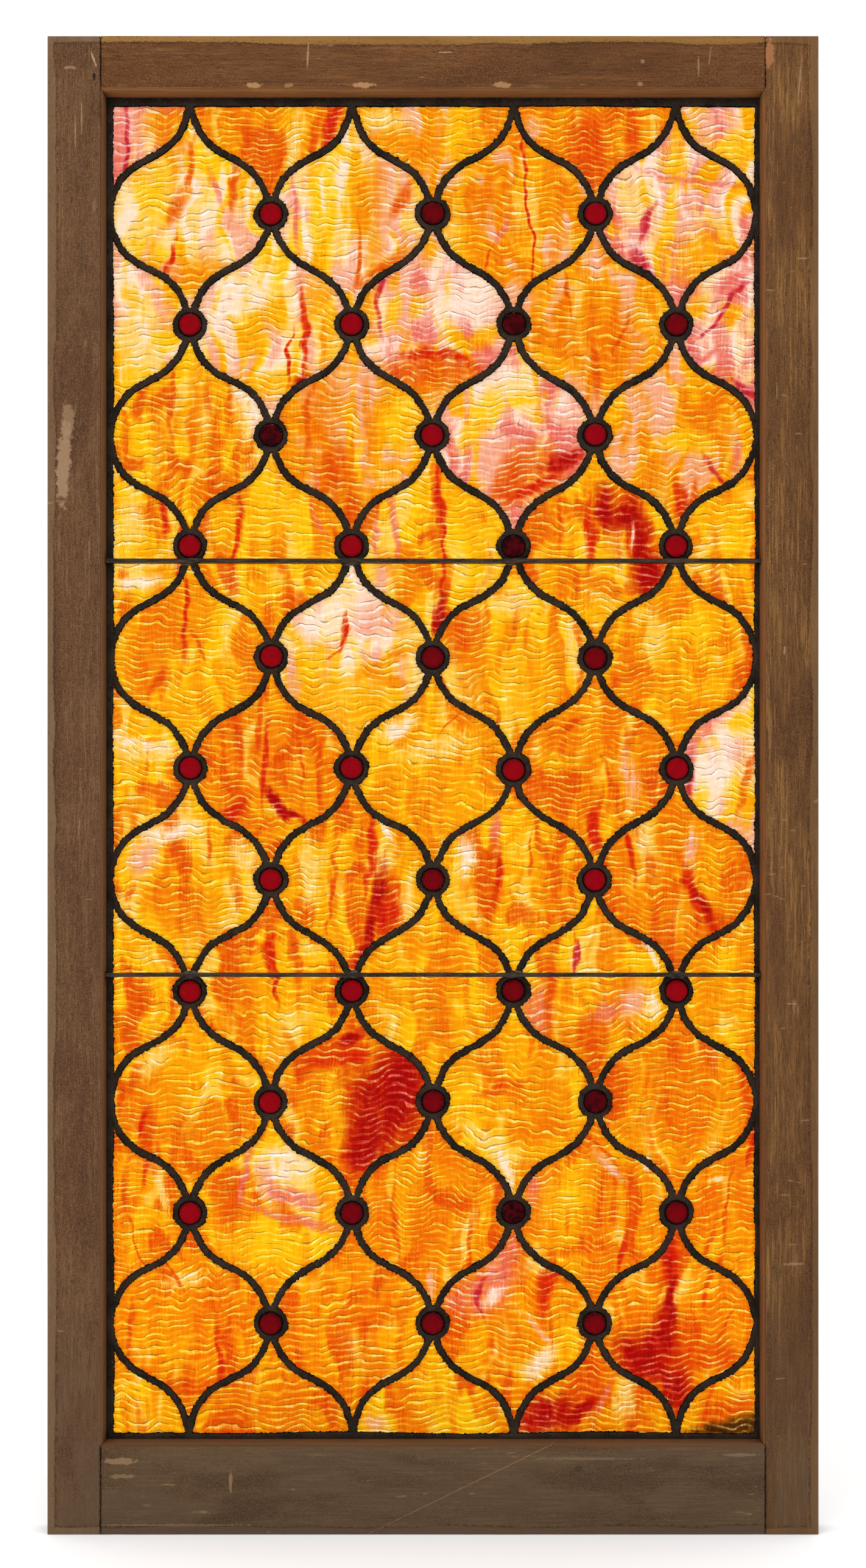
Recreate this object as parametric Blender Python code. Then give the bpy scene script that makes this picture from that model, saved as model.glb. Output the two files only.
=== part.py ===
"""A leaded glass window in its wooden sash: ogee glass tiles, ruby jewels and two steel saddle bars.

The window stands on its sill edge, with the room side facing -Y. Across is X, up is Z.
The origin is the middle of the sash's underside.
"""
import math

import bmesh
import bpy
from mathutils import Vector

# Sash, in metres
SASH_WIDTH = 0.610
SASH_HEIGHT = 1.186
SASH_DEPTH = 0.035
STILE_FACE = 0.042
TOP_RAIL_FACE = 0.0415
BOTTOM_RAIL_FACE = 0.070
MOULDING_WIDTH = 0.003
MOULDING_DEPTH = 0.016
QUIRK = 0.0008
ROUND_SHARE = 0.7
REBATE_WIDTH = 0.009
PUTTY_EDGE = 0.001
PUTTY_SETBACK = 0.0015

# Leaded panel. COLUMNS and ROWS count the half pitches from one row of crossings to the next
CAME_WIDTH = 0.0048
CAME_DEPTH = 0.006
GLASS_THICKNESS = 0.0032
BORDER_SIGHT = 0.0042
LATTICE_INSET_X = 0.0012
LATTICE_INSET_Z = 0.0028
COLUMNS = 8
ROWS = 12

# Shape of one curved came between two jewels, as shares of the pitch across and down
HANDLE_ACROSS = 0.16
HANDLE_DOWN = 0.69

# Jewels and their lead rings
RING_DIAMETER = 0.0272
JEWEL_SIGHT = 0.018
JEWEL_TABLE = 0.010
JEWEL_RISE = 0.0028

# Saddle bars, on edge in front of the lead
BAR_THICKNESS = 0.0032
BAR_DEPTH = 0.0095
BAR_SEAT = 0.002
BAR_TO_JEWEL = 0.002
UPPER_BAR_ROW = 4
LOWER_BAR_ROW = 8

# Fits
GAP = 0.0003
PANEL_CLEARANCE = 0.0015

# How finely curves are cut
CAME_SEGMENTS = 4
RING_SEGMENTS = 3
SEARCH_STEPS = 1000
MOULDING_SEGMENTS = 3
JEWEL_SIDES = 8
CUT_PAST = 0.002
SAME_POINT = 0.00005

# Places that follow from the sizes above
FACE_Y = -SASH_DEPTH / 2
BACK_Y = SASH_DEPTH / 2
LIP_Y = FACE_Y + MOULDING_DEPTH
CAME_FRONT_Y = LIP_Y + GAP
CAME_BACK_Y = CAME_FRONT_Y + CAME_DEPTH
GLASS_FRONT_Y = CAME_FRONT_Y + (CAME_DEPTH - GLASS_THICKNESS) / 2
GLASS_BACK_Y = GLASS_FRONT_Y + GLASS_THICKNESS
FACE_OPENING = (
    -SASH_WIDTH / 2 + STILE_FACE,
    SASH_WIDTH / 2 - STILE_FACE,
    BOTTOM_RAIL_FACE,
    SASH_HEIGHT - TOP_RAIL_FACE,
)

# Colours
WOOD = (0.130, 0.052, 0.018)
LEAD = (0.040, 0.026, 0.018)
STEEL = (0.075, 0.055, 0.042)
PUTTY = (0.30, 0.27, 0.22)
GLASS_COLOURS = {
    "amber": (0.80, 0.32, 0.010),
    "deep_orange": (0.80, 0.15, 0.004),
    "cream": (0.93, 0.66, 0.33),
    "rose": (0.90, 0.45, 0.36),
    "red": (0.62, 0.045, 0.010),
}

# Which tiles, by place across and down the lattice, are not plain amber
CREAM_TILES = {(8, 0), (2, 2), (0, 6), (1, 1), (1, 7), (7, 3)}
ROSE_TILES = {(3, 1), (7, 1), (4, 2), (8, 2), (5, 3), (3, 5), (8, 6), (6, 8), (2, 10), (5, 11)}
RED_TILES = {(6, 4), (3, 9), (7, 11), (6, 12)}
ORANGE_TILES = {(3, 3), (7, 5), (4, 10), (3, 7), (1, 11)}


def make_material(name, colour, roughness, metallic=0.0, transmission=0.0):
    """A plain Principled finish."""
    material = bpy.data.materials.new(name)
    material.use_nodes = True
    shader = material.node_tree.nodes["Principled BSDF"]
    shader.inputs["Base Color"].default_value = (*colour, 1.0)
    shader.inputs["Roughness"].default_value = roughness
    shader.inputs["Metallic"].default_value = metallic
    shader.inputs["Transmission Weight"].default_value = transmission
    material.diffuse_color = (*colour, 1.0)
    return material


def make_object(name, bm, material):
    """Turns a bmesh into a named object, with its faces pointing out."""
    bmesh.ops.recalc_face_normals(bm, faces=bm.faces)
    mesh = bpy.data.meshes.new(name)
    bm.to_mesh(mesh)
    bm.free()
    piece = bpy.data.objects.new(name, mesh)
    bpy.context.scene.collection.objects.link(piece)
    if material:
        mesh.materials.append(material)
    return piece


def inset_rectangle(rectangle, inset):
    """A rectangle given as left, right, low and high, moved in on all four sides."""
    left, right, low, high = rectangle
    return left + inset, right - inset, low + inset, high - inset


def rectangle_points(rectangle):
    """The four corners, going round."""
    left, right, low, high = rectangle
    return [(left, low), (right, low), (right, high), (left, high)]


def loft(sections):
    """Skins a stack of matching outlines, each given as its points and its depth, and caps both ends."""
    bm = bmesh.new()
    rings = [[bm.verts.new((x, y, z)) for x, z in points] for points, y in sections]
    for ring, following in zip(rings, rings[1:]):
        join_rings(bm, ring, following)
    bm.faces.new(rings[0])
    bm.faces.new(rings[-1])
    return bm


def join_rings(bm, ring, following):
    """A band of four-sided faces between two rings of points."""
    for k in range(len(ring)):
        after = (k + 1) % len(ring)
        bm.faces.new((ring[k], ring[after], following[after], following[k]))


def prism(points, front_y, back_y):
    """An outline carried straight back."""
    return loft([(points, front_y), (points, back_y)])


def cut(piece, cutter):
    """Cuts a guide shape out of a piece. The guide stays in the file and is not part of the window."""
    modifier = piece.modifiers.new("cut_" + cutter.name, "BOOLEAN")
    modifier.operation = "DIFFERENCE"
    modifier.solver = "EXACT"
    modifier.object = cutter


def make_guide(name, bm):
    """A hidden shape that only cuts."""
    guide = make_object(name, bm, None)
    guide.hide_render = True
    guide.display_type = "WIRE"
    return guide


def moulding_profile():
    """How far in and how deep each point of the moulding is, from its arris to the end of its round.

    ROUND_SHARE is the share of the moulding's depth that the round takes. The rest is straight.
    """
    profile = [(0.0, 0.0), (0.0, QUIRK)]
    reach = MOULDING_WIDTH - QUIRK
    round_depth = (MOULDING_DEPTH - QUIRK) * ROUND_SHARE
    for k in range(MOULDING_SEGMENTS + 1):
        angle = math.pi / 2 * k / MOULDING_SEGMENTS
        profile.append((QUIRK + reach * math.sin(angle), QUIRK + round_depth * (1 - math.cos(angle))))
    return profile


def opening_guide():
    """The sash's opening, narrowing through the moulding to the sight line."""
    sections = [(rectangle_points(FACE_OPENING), FACE_Y - CUT_PAST)]
    for inset, depth in moulding_profile():
        sections.append((rectangle_points(inset_rectangle(FACE_OPENING, inset)), FACE_Y + depth))
    sections.append((rectangle_points(sight_opening()), LIP_Y + CUT_PAST))
    return make_guide("guide_opening", loft(sections))


def sight_opening():
    """The opening at the rebate's lip, where the glass is first seen."""
    return inset_rectangle(FACE_OPENING, MOULDING_WIDTH)


def rebate_opening():
    """The larger opening behind the lip, where the panel sits."""
    return inset_rectangle(sight_opening(), -REBATE_WIDTH)


def rebate_guide():
    """The rebate, open at the back."""
    return make_guide("guide_rebate", prism(rectangle_points(rebate_opening()), LIP_Y, BACK_Y + CUT_PAST))


def bar_height(row, side):
    """Middle of a saddle bar: just below (-1) or above (+1) the jewels of a row."""
    return row_height(row) + side * (JEWEL_SIGHT / 2 + BAR_TO_JEWEL + BAR_THICKNESS / 2)


def bar_slot_guide(name, height):
    """Room for a saddle bar's ends in both mouldings."""
    half_slot = BAR_THICKNESS / 2 + GAP
    reach = bar_half_length() + GAP
    outline = rectangle_points((-reach, reach, height - half_slot, height + half_slot))
    return make_guide(name, prism(outline, CAME_FRONT_Y - GAP - BAR_DEPTH - GAP, LIP_Y + CUT_PAST))


def bar_half_length():
    """From the middle of the window to a saddle bar's end, just inside the moulding."""
    return sight_opening()[1] + BAR_SEAT


def stile_outline(side):
    """A stile with the strip of moulding that it carries, mitred at both ends."""
    reach = MOULDING_WIDTH + REBATE_WIDTH
    inner = FACE_OPENING[1]
    low, high = FACE_OPENING[2], FACE_OPENING[3]
    outline = [
        (SASH_WIDTH / 2, 0.0),
        (SASH_WIDTH / 2, SASH_HEIGHT),
        (inner, SASH_HEIGHT),
        (inner, high),
        (inner - reach, high - reach),
        (inner - reach, low + reach),
        (inner, low),
        (inner, 0.0),
    ]
    return [(side * x, z) for x, z in outline]


def rail_outline(edge_z, face_z, towards):
    """A rail between the stiles, with its mitred moulding. towards is +1 where the glass lies above."""
    reach = MOULDING_WIDTH + REBATE_WIDTH
    joint = FACE_OPENING[1] - GAP
    mitre_start = face_z + towards * GAP * (1 - math.sqrt(2))
    half = [
        (joint, edge_z),
        (joint, mitre_start),
        (joint - reach, mitre_start + towards * reach),
    ]
    return half + [(-x, z) for x, z in reversed(half)]


def make_sash():
    """Two stiles at full height and two rails between them, all cut to one moulded opening."""
    wood = make_material("sash_wood", WOOD, 0.6)
    opening = opening_guide()
    rebate = rebate_guide()
    slots = [
        bar_slot_guide("guide_upper_bar_slot", bar_height(UPPER_BAR_ROW, -1)),
        bar_slot_guide("guide_lower_bar_slot", bar_height(LOWER_BAR_ROW, 1)),
    ]
    members = {
        "stile_left": stile_outline(-1),
        "stile_right": stile_outline(1),
        "rail_top": rail_outline(SASH_HEIGHT, FACE_OPENING[3], -1),
        "rail_bottom": rail_outline(0.0, FACE_OPENING[2], 1),
    }
    for name, outline in members.items():
        member = make_object(name, prism(outline, FACE_Y, BACK_Y), wood)
        cut(member, opening)
        cut(member, rebate)
        if name.startswith("stile"):
            for slot in slots:
                cut(member, slot)


def make_putty():
    """The bevelled bed of putty that holds the panel in its rebate, from behind."""
    outer = inset_rectangle(rebate_opening(), GAP)
    inner = sight_opening()
    front_y = CAME_BACK_Y + GAP
    sections = [
        (rectangle_points(outer), front_y),
        (rectangle_points(inner), front_y),
        (rectangle_points(inner), front_y + PUTTY_EDGE),
        (rectangle_points(outer), BACK_Y - PUTTY_SETBACK),
    ]
    bm = bmesh.new()
    rings = [[bm.verts.new((x, y, z)) for x, z in points] for points, y in sections]
    for ring, following in zip(rings, rings[1:] + rings[:1]):
        join_rings(bm, ring, following)
    make_object("glazing_putty", bm, make_material("putty", PUTTY, 0.85))


def lattice_corner():
    """Left edge and top edge of the rectangle that the lattice's crossings fill."""
    left, _, _, high = sight_opening()
    return left + LATTICE_INSET_X, high - LATTICE_INSET_Z


def pitch_across():
    """From one crossing to the next, across."""
    left, right, _, _ = sight_opening()
    return (right - left - 2 * LATTICE_INSET_X) / COLUMNS


def pitch_down():
    """From one crossing to the next, down."""
    _, _, low, high = sight_opening()
    return (high - low - 2 * LATTICE_INSET_Z) / ROWS


def crossing(i, j):
    """Where lattice crossing i across and j down lies."""
    left, top = lattice_corner()
    return left + i * pitch_across(), top - j * pitch_down()


def row_height(j):
    """Height of a row of crossings."""
    return crossing(0, j)[1]


def is_jewel(i, j):
    """Jewels sit at every second crossing, away from the border."""
    return (i + j) % 2 == 1 and 0 < i < COLUMNS and 0 < j < ROWS


def came_side(t, margin):
    """A point beside a curved came that falls from above the tile (0, down) to beside it (across, 0).

    margin is how far the point lies from the came's centre line, on the tile's side.
    """
    across, down = pitch_across(), pitch_down()
    points = [
        Vector((0.0, down)),
        Vector((HANDLE_ACROSS * across, down - HANDLE_DOWN * down)),
        Vector((across - HANDLE_ACROSS * across, HANDLE_DOWN * down)),
        Vector((across, 0.0)),
    ]
    weights = [(1 - t) ** 3, 3 * (1 - t) ** 2 * t, 3 * (1 - t) * t ** 2, t ** 3]
    place = sum((w * p for w, p in zip(weights, points)), Vector((0.0, 0.0)))
    slopes = [(1 - t) ** 2, 2 * (1 - t) * t, t ** 2]
    steps = [after - before for before, after in zip(points, points[1:])]
    run = sum((w * s for w, s in zip(slopes, steps)), Vector((0.0, 0.0))).normalized()
    return place + margin * Vector((run.y, -run.x))


def quarter_outline(margin, ring_above, ring_beside, segments):
    """The upper right quarter of a tile's outline, from its top point round to its side.

    ring_above and ring_beside are the radii that the lead rings at those corners keep clear, or 0.
    """
    above = Vector((0.0, pitch_down()))
    beside = Vector((pitch_across(), 0.0))
    clear = []
    for k in range(SEARCH_STEPS + 1):
        t = k / SEARCH_STEPS
        place = came_side(t, margin)
        inside = place.x >= 0 and place.y >= 0
        if inside and (place - above).length >= ring_above and (place - beside).length >= ring_beside:
            clear.append(t)
    start, end = clear[0], clear[-1]
    top_z = min(came_side(start, margin).y, pitch_down() - ring_above)
    outline = [Vector((0.0, top_z))]
    for k in range(1, segments + 1):
        outline.append(came_side(start + (end - start) * k / segments, margin))
    if ring_beside > 0:
        from_ring = outline[-1] - beside
        angle = math.atan2(from_ring.y, -from_ring.x) / RING_SEGMENTS
        outline.append(beside + ring_beside * Vector((-math.cos(angle), math.sin(angle))))
    else:
        outline[-1].y = 0.0
    return outline


def tile_outline(i, j, margin, ring_radius, border, segments):
    """The whole outline of the tile at crossing (i, j), cut off at the border came."""
    ring_at = {}
    for side in (-1, 1):
        ring_at["across", side] = ring_radius if is_jewel(i + side, j) else 0.0
        ring_at["down", side] = ring_radius if is_jewel(i, j - side) else 0.0
    x, z = crossing(i, j)
    points = []
    for side_x, side_z, reverse in ((1, 1, False), (1, -1, True), (-1, -1, False), (-1, 1, True)):
        quarter = quarter_outline(margin, ring_at["down", side_z], ring_at["across", side_x], segments)
        quarter = [(x + side_x * p.x, z + side_z * p.y) for p in quarter]
        points += reversed(quarter) if reverse else quarter
    left, right, low, high = inset_rectangle(sight_opening(), border)
    points = clip(points, 0, left, 1)
    points = clip(points, 0, right, -1)
    points = clip(points, 1, low, 1)
    points = clip(points, 1, high, -1)
    return without_repeats(points)


def clip(points, axis, limit, keep):
    """Cuts an outline off along a level line. keep is +1 to keep what lies above the limit."""
    kept = []
    for before, point in zip([points[-1]] + points[:-1], points):
        here = keep * (point[axis] - limit)
        there = keep * (before[axis] - limit)
        if here * there < 0:
            share = there / (there - here)
            kept.append(tuple(b + share * (p - b) for b, p in zip(before, point)))
        if here >= 0:
            kept.append(point)
    return kept


def without_repeats(points):
    """Drops points that fall on the one before."""
    kept = []
    for before, point in zip([points[-1]] + points[:-1], points):
        if math.dist(before, point) > SAME_POINT:
            kept.append(point)
    return kept


def circle_points(centre, diameter, sides):
    """Corners of a round outline, with flats at its sides."""
    x, z = centre
    points = []
    for k in range(sides):
        angle = 2 * math.pi * (k + 0.5) / sides
        points.append((x + diameter / 2 * math.cos(angle), z + diameter / 2 * math.sin(angle)))
    return points


def tile_crossings():
    """Every tile's crossing, row by row from the top left."""
    return [(i, j) for j in range(ROWS + 1) for i in range(COLUMNS + 1) if (i + j) % 2 == 0]


def is_fused(i, j):
    """The panes cut by the head or the foot of the border came."""
    return j in (0, ROWS)


def add_ring(bm, points, y):
    """A closed ring of edges at one depth. Gives back its corner points."""
    ring = [bm.verts.new((x, y, z)) for x, z in points]
    for k, vert in enumerate(ring):
        bm.edges.new((vert, ring[(k + 1) % len(ring)]))
    return ring


def fill_between(bm, rings):
    """Faces over the flat area inside the first ring and outside the others."""
    corners = {vert for ring in rings for vert in ring}
    edges = [edge for edge in bm.edges if set(edge.verts) <= corners]
    bmesh.ops.triangle_fill(bm, use_beauty=True, use_dissolve=False, edges=edges, normal=(0.0, -1.0, 0.0))


def make_lead():
    """The soldered lattice as one plate, with its ring heads, jewels and smallest panes in place."""
    bm = bmesh.new()
    outer = rectangle_points(inset_rectangle(rebate_opening(), PANEL_CLEARANCE))
    outlines = [outer]
    sunk_outlines = []
    for i, j in tile_crossings():
        outline = tile_outline(i, j, CAME_WIDTH / 2, RING_DIAMETER / 2, BORDER_SIGHT, CAME_SEGMENTS)
        if is_fused(i, j):
            sunk_outlines.append(outline)
        else:
            outlines.append(outline)
    front_rings = [add_ring(bm, points, CAME_FRONT_Y) for points in outlines]
    front_sunk = [add_ring(bm, points, CAME_FRONT_Y) for points in sunk_outlines]
    jewels = [crossing(i, j) for j in range(ROWS + 1) for i in range(COLUMNS + 1) if is_jewel(i, j)]
    front_jewels = [
        add_ring(bm, circle_points(centre, JEWEL_SIGHT, JEWEL_SIDES), CAME_FRONT_Y) for centre in jewels
    ]
    fill_between(bm, front_rings + front_sunk + front_jewels)
    back_rings = [add_ring(bm, points, CAME_BACK_Y) for points in outlines]
    back_sunk = [add_ring(bm, points, CAME_BACK_Y) for points in sunk_outlines]
    fill_between(bm, back_rings + back_sunk)
    for front, back in zip(front_rings, back_rings):
        join_rings(bm, front, back)
    for rings, glass_y in ((front_sunk, GLASS_FRONT_Y), (back_sunk, GLASS_BACK_Y)):
        for ring, points in zip(rings, sunk_outlines):
            pane = [bm.verts.new((x, glass_y, z)) for x, z in points]
            join_rings(bm, ring, pane)
            bm.faces.new(pane)
    for ring, centre in zip(front_jewels, jewels):
        table = circle_points(centre, JEWEL_TABLE, JEWEL_SIDES)
        top = [bm.verts.new((x, CAME_FRONT_Y - JEWEL_RISE, z)) for x, z in table]
        join_rings(bm, ring, top)
        bm.faces.new(top)
    make_object("lead_came", bm, make_material("lead", LEAD, 0.7, 0.2))


def tile_colour(i, j):
    """The name of a tile's main colour."""
    for colour, tiles in (
        ("cream", CREAM_TILES),
        ("rose", ROSE_TILES),
        ("red", RED_TILES),
        ("deep_orange", ORANGE_TILES),
    ):
        if (i, j) in tiles:
            return colour
    return "amber"


def tile_name(i, j):
    """A tile's row from the top, and its place in the row from the left."""
    if i in (0, COLUMNS):
        return f"glass_row_{j:02d}_half_{'left' if i == 0 else 'right'}"
    return f"glass_row_{j:02d}_tile_{(i + 1) // 2}"


def make_tiles():
    """Every glass tile that has a solid of its own, standing clear in its lead."""
    for i, j in tile_crossings():
        if is_fused(i, j):
            continue
        outline = tile_outline(
            i, j, CAME_WIDTH / 2 + GAP, RING_DIAMETER / 2 + GAP, BORDER_SIGHT + GAP, CAME_SEGMENTS
        )
        name = tile_name(i, j)
        glass = make_material(name, GLASS_COLOURS[tile_colour(i, j)], 0.1, transmission=0.7)
        make_object(name, prism(outline, GLASS_FRONT_Y, GLASS_BACK_Y), glass)


def make_bars():
    """Two steel bars on edge across the panel, their ends let into the moulding."""
    steel = make_material("bar_steel", STEEL, 0.5, 0.7)
    back_y = CAME_FRONT_Y - GAP
    for name, height in (
        ("saddle_bar_upper", bar_height(UPPER_BAR_ROW, -1)),
        ("saddle_bar_lower", bar_height(LOWER_BAR_ROW, 1)),
    ):
        reach = bar_half_length()
        half = BAR_THICKNESS / 2
        outline = rectangle_points((-reach, reach, height - half, height + half))
        make_object(name, prism(outline, back_y - BAR_DEPTH, back_y), steel)


def main():
    """Builds the whole window."""
    for old in list(bpy.data.objects):
        bpy.data.objects.remove(old)
    make_sash()
    make_putty()
    make_lead()
    make_tiles()
    make_bars()


main()
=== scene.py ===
"""Looks of the leaded glass window: streaky glass, ruby jewels, soldered lead and a worn wooden sash."""
import math

import bmesh
import bpy
import numpy as np
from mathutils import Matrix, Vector
from mathutils.geometry import delaunay_2d_cdt


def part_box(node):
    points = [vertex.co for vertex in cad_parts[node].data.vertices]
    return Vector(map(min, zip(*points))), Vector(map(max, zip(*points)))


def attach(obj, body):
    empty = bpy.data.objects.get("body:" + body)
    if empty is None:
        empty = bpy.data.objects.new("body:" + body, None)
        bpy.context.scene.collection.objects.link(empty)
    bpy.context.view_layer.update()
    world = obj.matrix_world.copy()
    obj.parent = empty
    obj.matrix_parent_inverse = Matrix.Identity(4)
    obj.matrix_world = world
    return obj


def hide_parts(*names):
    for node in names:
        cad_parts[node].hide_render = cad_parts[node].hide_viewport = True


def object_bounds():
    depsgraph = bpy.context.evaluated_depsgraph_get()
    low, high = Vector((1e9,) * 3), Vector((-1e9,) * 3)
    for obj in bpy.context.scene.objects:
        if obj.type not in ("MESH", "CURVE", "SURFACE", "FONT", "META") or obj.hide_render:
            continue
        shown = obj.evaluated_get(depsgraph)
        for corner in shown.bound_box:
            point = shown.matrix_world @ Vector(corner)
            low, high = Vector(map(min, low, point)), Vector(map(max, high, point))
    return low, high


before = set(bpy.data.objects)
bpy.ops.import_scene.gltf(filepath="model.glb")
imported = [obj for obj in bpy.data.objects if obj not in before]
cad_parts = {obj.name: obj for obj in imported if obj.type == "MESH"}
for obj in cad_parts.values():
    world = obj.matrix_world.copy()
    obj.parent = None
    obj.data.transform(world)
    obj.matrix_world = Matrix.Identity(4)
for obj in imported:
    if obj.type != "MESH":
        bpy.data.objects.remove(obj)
cad_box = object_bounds()

# Sizes that the lead and glass share with the solids, in metres
MM = 0.001
COLUMNS = 8
ROWS = 12
LATTICE_INSET_X = 1.2 * MM
LATTICE_INSET_Z = 2.8 * MM
HANDLE_ACROSS = 0.16
HANDLE_DOWN = 0.69
CAME_HALF = 2.4 * MM
RING_RADIUS = 13.6 * MM
JEWEL_RADIUS = 9.0 * MM
REBATE_WIDTH = 9.0 * MM
PANEL_CLEARANCE = 1.5 * MM

# How far the border came shows past the moulding on each side. The panel sits a little off centre.
BORDER_LEFT = 5.0 * MM
BORDER_RIGHT = 3.2 * MM
BORDER_TOP = 5.2 * MM
BORDER_BOTTOM = 3.6 * MM

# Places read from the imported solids
SASH_LOW, SASH_HIGH = cad_box
SIGHT_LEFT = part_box("stile_left")[1].x
SIGHT_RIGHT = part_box("stile_right")[0].x
SIGHT_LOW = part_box("rail_bottom")[1].z
SIGHT_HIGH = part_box("rail_top")[0].z
GLASS_FRONT_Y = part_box("glass_row_01_tile_1")[0].y
GLASS_BACK_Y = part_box("glass_row_01_tile_1")[1].y
CAME_BACK_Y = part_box("lead_came")[1].y
CAME_FRONT_Y = GLASS_FRONT_Y + GLASS_BACK_Y - CAME_BACK_Y
FACE_Y = SASH_LOW.y
PITCH_X = (SIGHT_RIGHT - SIGHT_LEFT - 2 * LATTICE_INSET_X) / COLUMNS
PITCH_Z = (SIGHT_HIGH - SIGHT_LOW - 2 * LATTICE_INSET_Z) / ROWS

# Camera and the photograph's frame
PHOTO_WIDTH = 1422
PHOTO_HEIGHT = 2576
SASH_TOP_PX = 59
SASH_BOTTOM_PX = 2521
SASH_MIDDLE_PX = 711
CAMERA_DISTANCE = 2.0
CAMERA_DROP = 0.10


def crossing(i, j):
    """Where lattice crossing i across and j down lies."""
    return SIGHT_LEFT + LATTICE_INSET_X + i * PITCH_X, SIGHT_HIGH - LATTICE_INSET_Z - j * PITCH_Z


def is_jewel(i, j):
    """Jewels sit at every second crossing, away from the border."""
    return (i + j) % 2 == 1 and 0 < i < COLUMNS and 0 < j < ROWS


def tile_crossings():
    """Every tile's crossing, row by row from the top left."""
    return [(i, j) for j in range(ROWS + 1) for i in range(COLUMNS + 1) if (i + j) % 2 == 0]


def jewel_crossings():
    """Every jewel's crossing, row by row from the top left."""
    return [(i, j) for j in range(ROWS + 1) for i in range(COLUMNS + 1) if is_jewel(i, j)]


class Waves:
    """Smooth seeded noise over the panel: a sum of random waves, worth about -1 to 1."""

    def __init__(self, seed, size_x, size_z, count=14):
        rng = np.random.default_rng(seed)
        angle = rng.uniform(0, 2 * np.pi, count)
        pace = rng.uniform(0.45, 1.35, count)
        self.wave_x = np.cos(angle) * pace * 2 * np.pi / size_x
        self.wave_z = np.sin(angle) * pace * 2 * np.pi / size_z
        self.start = rng.uniform(0, 2 * np.pi, count)
        self.scale = 1.0 / math.sqrt(count / 2)

    def __call__(self, x, z):
        x = np.asarray(x, float)[..., None]
        z = np.asarray(z, float)[..., None]
        return np.cos(x * self.wave_x + z * self.wave_z + self.start).sum(-1) * self.scale


def smooth(low, high, value):
    """0 below low, 1 above high, smooth between."""
    share = np.clip((value - low) / (high - low), 0.0, 1.0)
    return share * share * (3 - 2 * share)


def linear(red, green, blue):
    """A screen colour of 0 to 255 as linear light."""
    values = np.array([red, green, blue]) / 255.0
    return np.where(values <= 0.04045, values / 12.92, ((values + 0.055) / 1.055) ** 2.4)


# Panel outlines

HAND_DRIFT = Waves(11, 90 * MM, 110 * MM)
HAND_WOBBLE = Waves(12, 26 * MM, 24 * MM)
CURVE_SAMPLES = 2001
LONG_RUN = 20 * MM


def hand_shift(x, z):
    """The small wander of handwork, the same for lead and glass: gives back shifted x and z."""
    drift = 0.35 * MM
    wobble = 0.16 * MM
    return (
        x + drift * HAND_DRIFT(x, z) + wobble * HAND_WOBBLE(x, z),
        z + drift * HAND_DRIFT(z, x) + wobble * HAND_WOBBLE(z, x),
    )


def came_side(t, margin):
    """Points beside the came from (0, PITCH_Z) down to (PITCH_X, 0), margin away on the tile's side."""
    t = np.asarray(t, float)[..., None]
    points = np.array([
        (0.0, PITCH_Z),
        (HANDLE_ACROSS * PITCH_X, PITCH_Z - HANDLE_DOWN * PITCH_Z),
        (PITCH_X - HANDLE_ACROSS * PITCH_X, HANDLE_DOWN * PITCH_Z),
        (PITCH_X, 0.0),
    ])
    place = (
        (1 - t) ** 3 * points[0] + 3 * (1 - t) ** 2 * t * points[1]
        + 3 * (1 - t) * t ** 2 * points[2] + t ** 3 * points[3]
    )
    run = (
        (1 - t) ** 2 * (points[1] - points[0]) + 2 * (1 - t) * t * (points[2] - points[1])
        + t ** 2 * (points[3] - points[2])
    )
    run /= np.linalg.norm(run, axis=-1, keepdims=True)
    return place + margin * np.stack([run[..., 1], -run[..., 0]], axis=-1)


def quarter(margin, ring_above, ring_beside, least_x, least_z, most_x, steps, ring_steps):
    """The upper right quarter of a tile's outline about its crossing, from its top round to its side."""
    t = np.linspace(0, 1, CURVE_SAMPLES)
    place = came_side(t, margin)
    clear = (place[:, 0] >= least_x) & (place[:, 1] >= least_z)
    clear &= np.hypot(place[:, 0], place[:, 1] - PITCH_Z) >= ring_above
    clear &= np.hypot(place[:, 0] - PITCH_X, place[:, 1]) >= ring_beside
    start, end = t[clear][0], t[clear][-1]
    path = came_side(np.linspace(start, end, steps + 1), margin)
    path[:, 0] = np.minimum(path[:, 0], most_x)
    top = (least_x, min(path[0, 1] + path[0, 0] - least_x, PITCH_Z - ring_above))
    path = np.vstack([[top], path])
    if ring_beside > 0:
        from_ring = path[-1] - (PITCH_X, 0.0)
        angle = math.atan2(from_ring[1], -from_ring[0])
        angles = angle * (1 - np.arange(1, ring_steps + 1) / ring_steps)
        ring = np.stack([PITCH_X - ring_beside * np.cos(angles), ring_beside * np.sin(angles)], axis=-1)
        path = np.vstack([path, ring])
    else:
        path[-1, 1] = least_z
        path = np.vstack([path, np.repeat(path[-1:], ring_steps, axis=0)])
        path[-ring_steps - 1:, 0] = np.linspace(path[-ring_steps - 1, 0], path[-1, 0], ring_steps + 1)
    return path


def pane_quarters(i, j):
    """Which sides a tile has across (1 is right) and up (1 is above). The border cuts the others off."""
    sides_x = [side for side in (1, -1) if 0 <= i + side <= COLUMNS]
    sides_z = [side for side in (1, -1) if 0 <= j - side <= ROWS]
    return sides_x, sides_z


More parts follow.
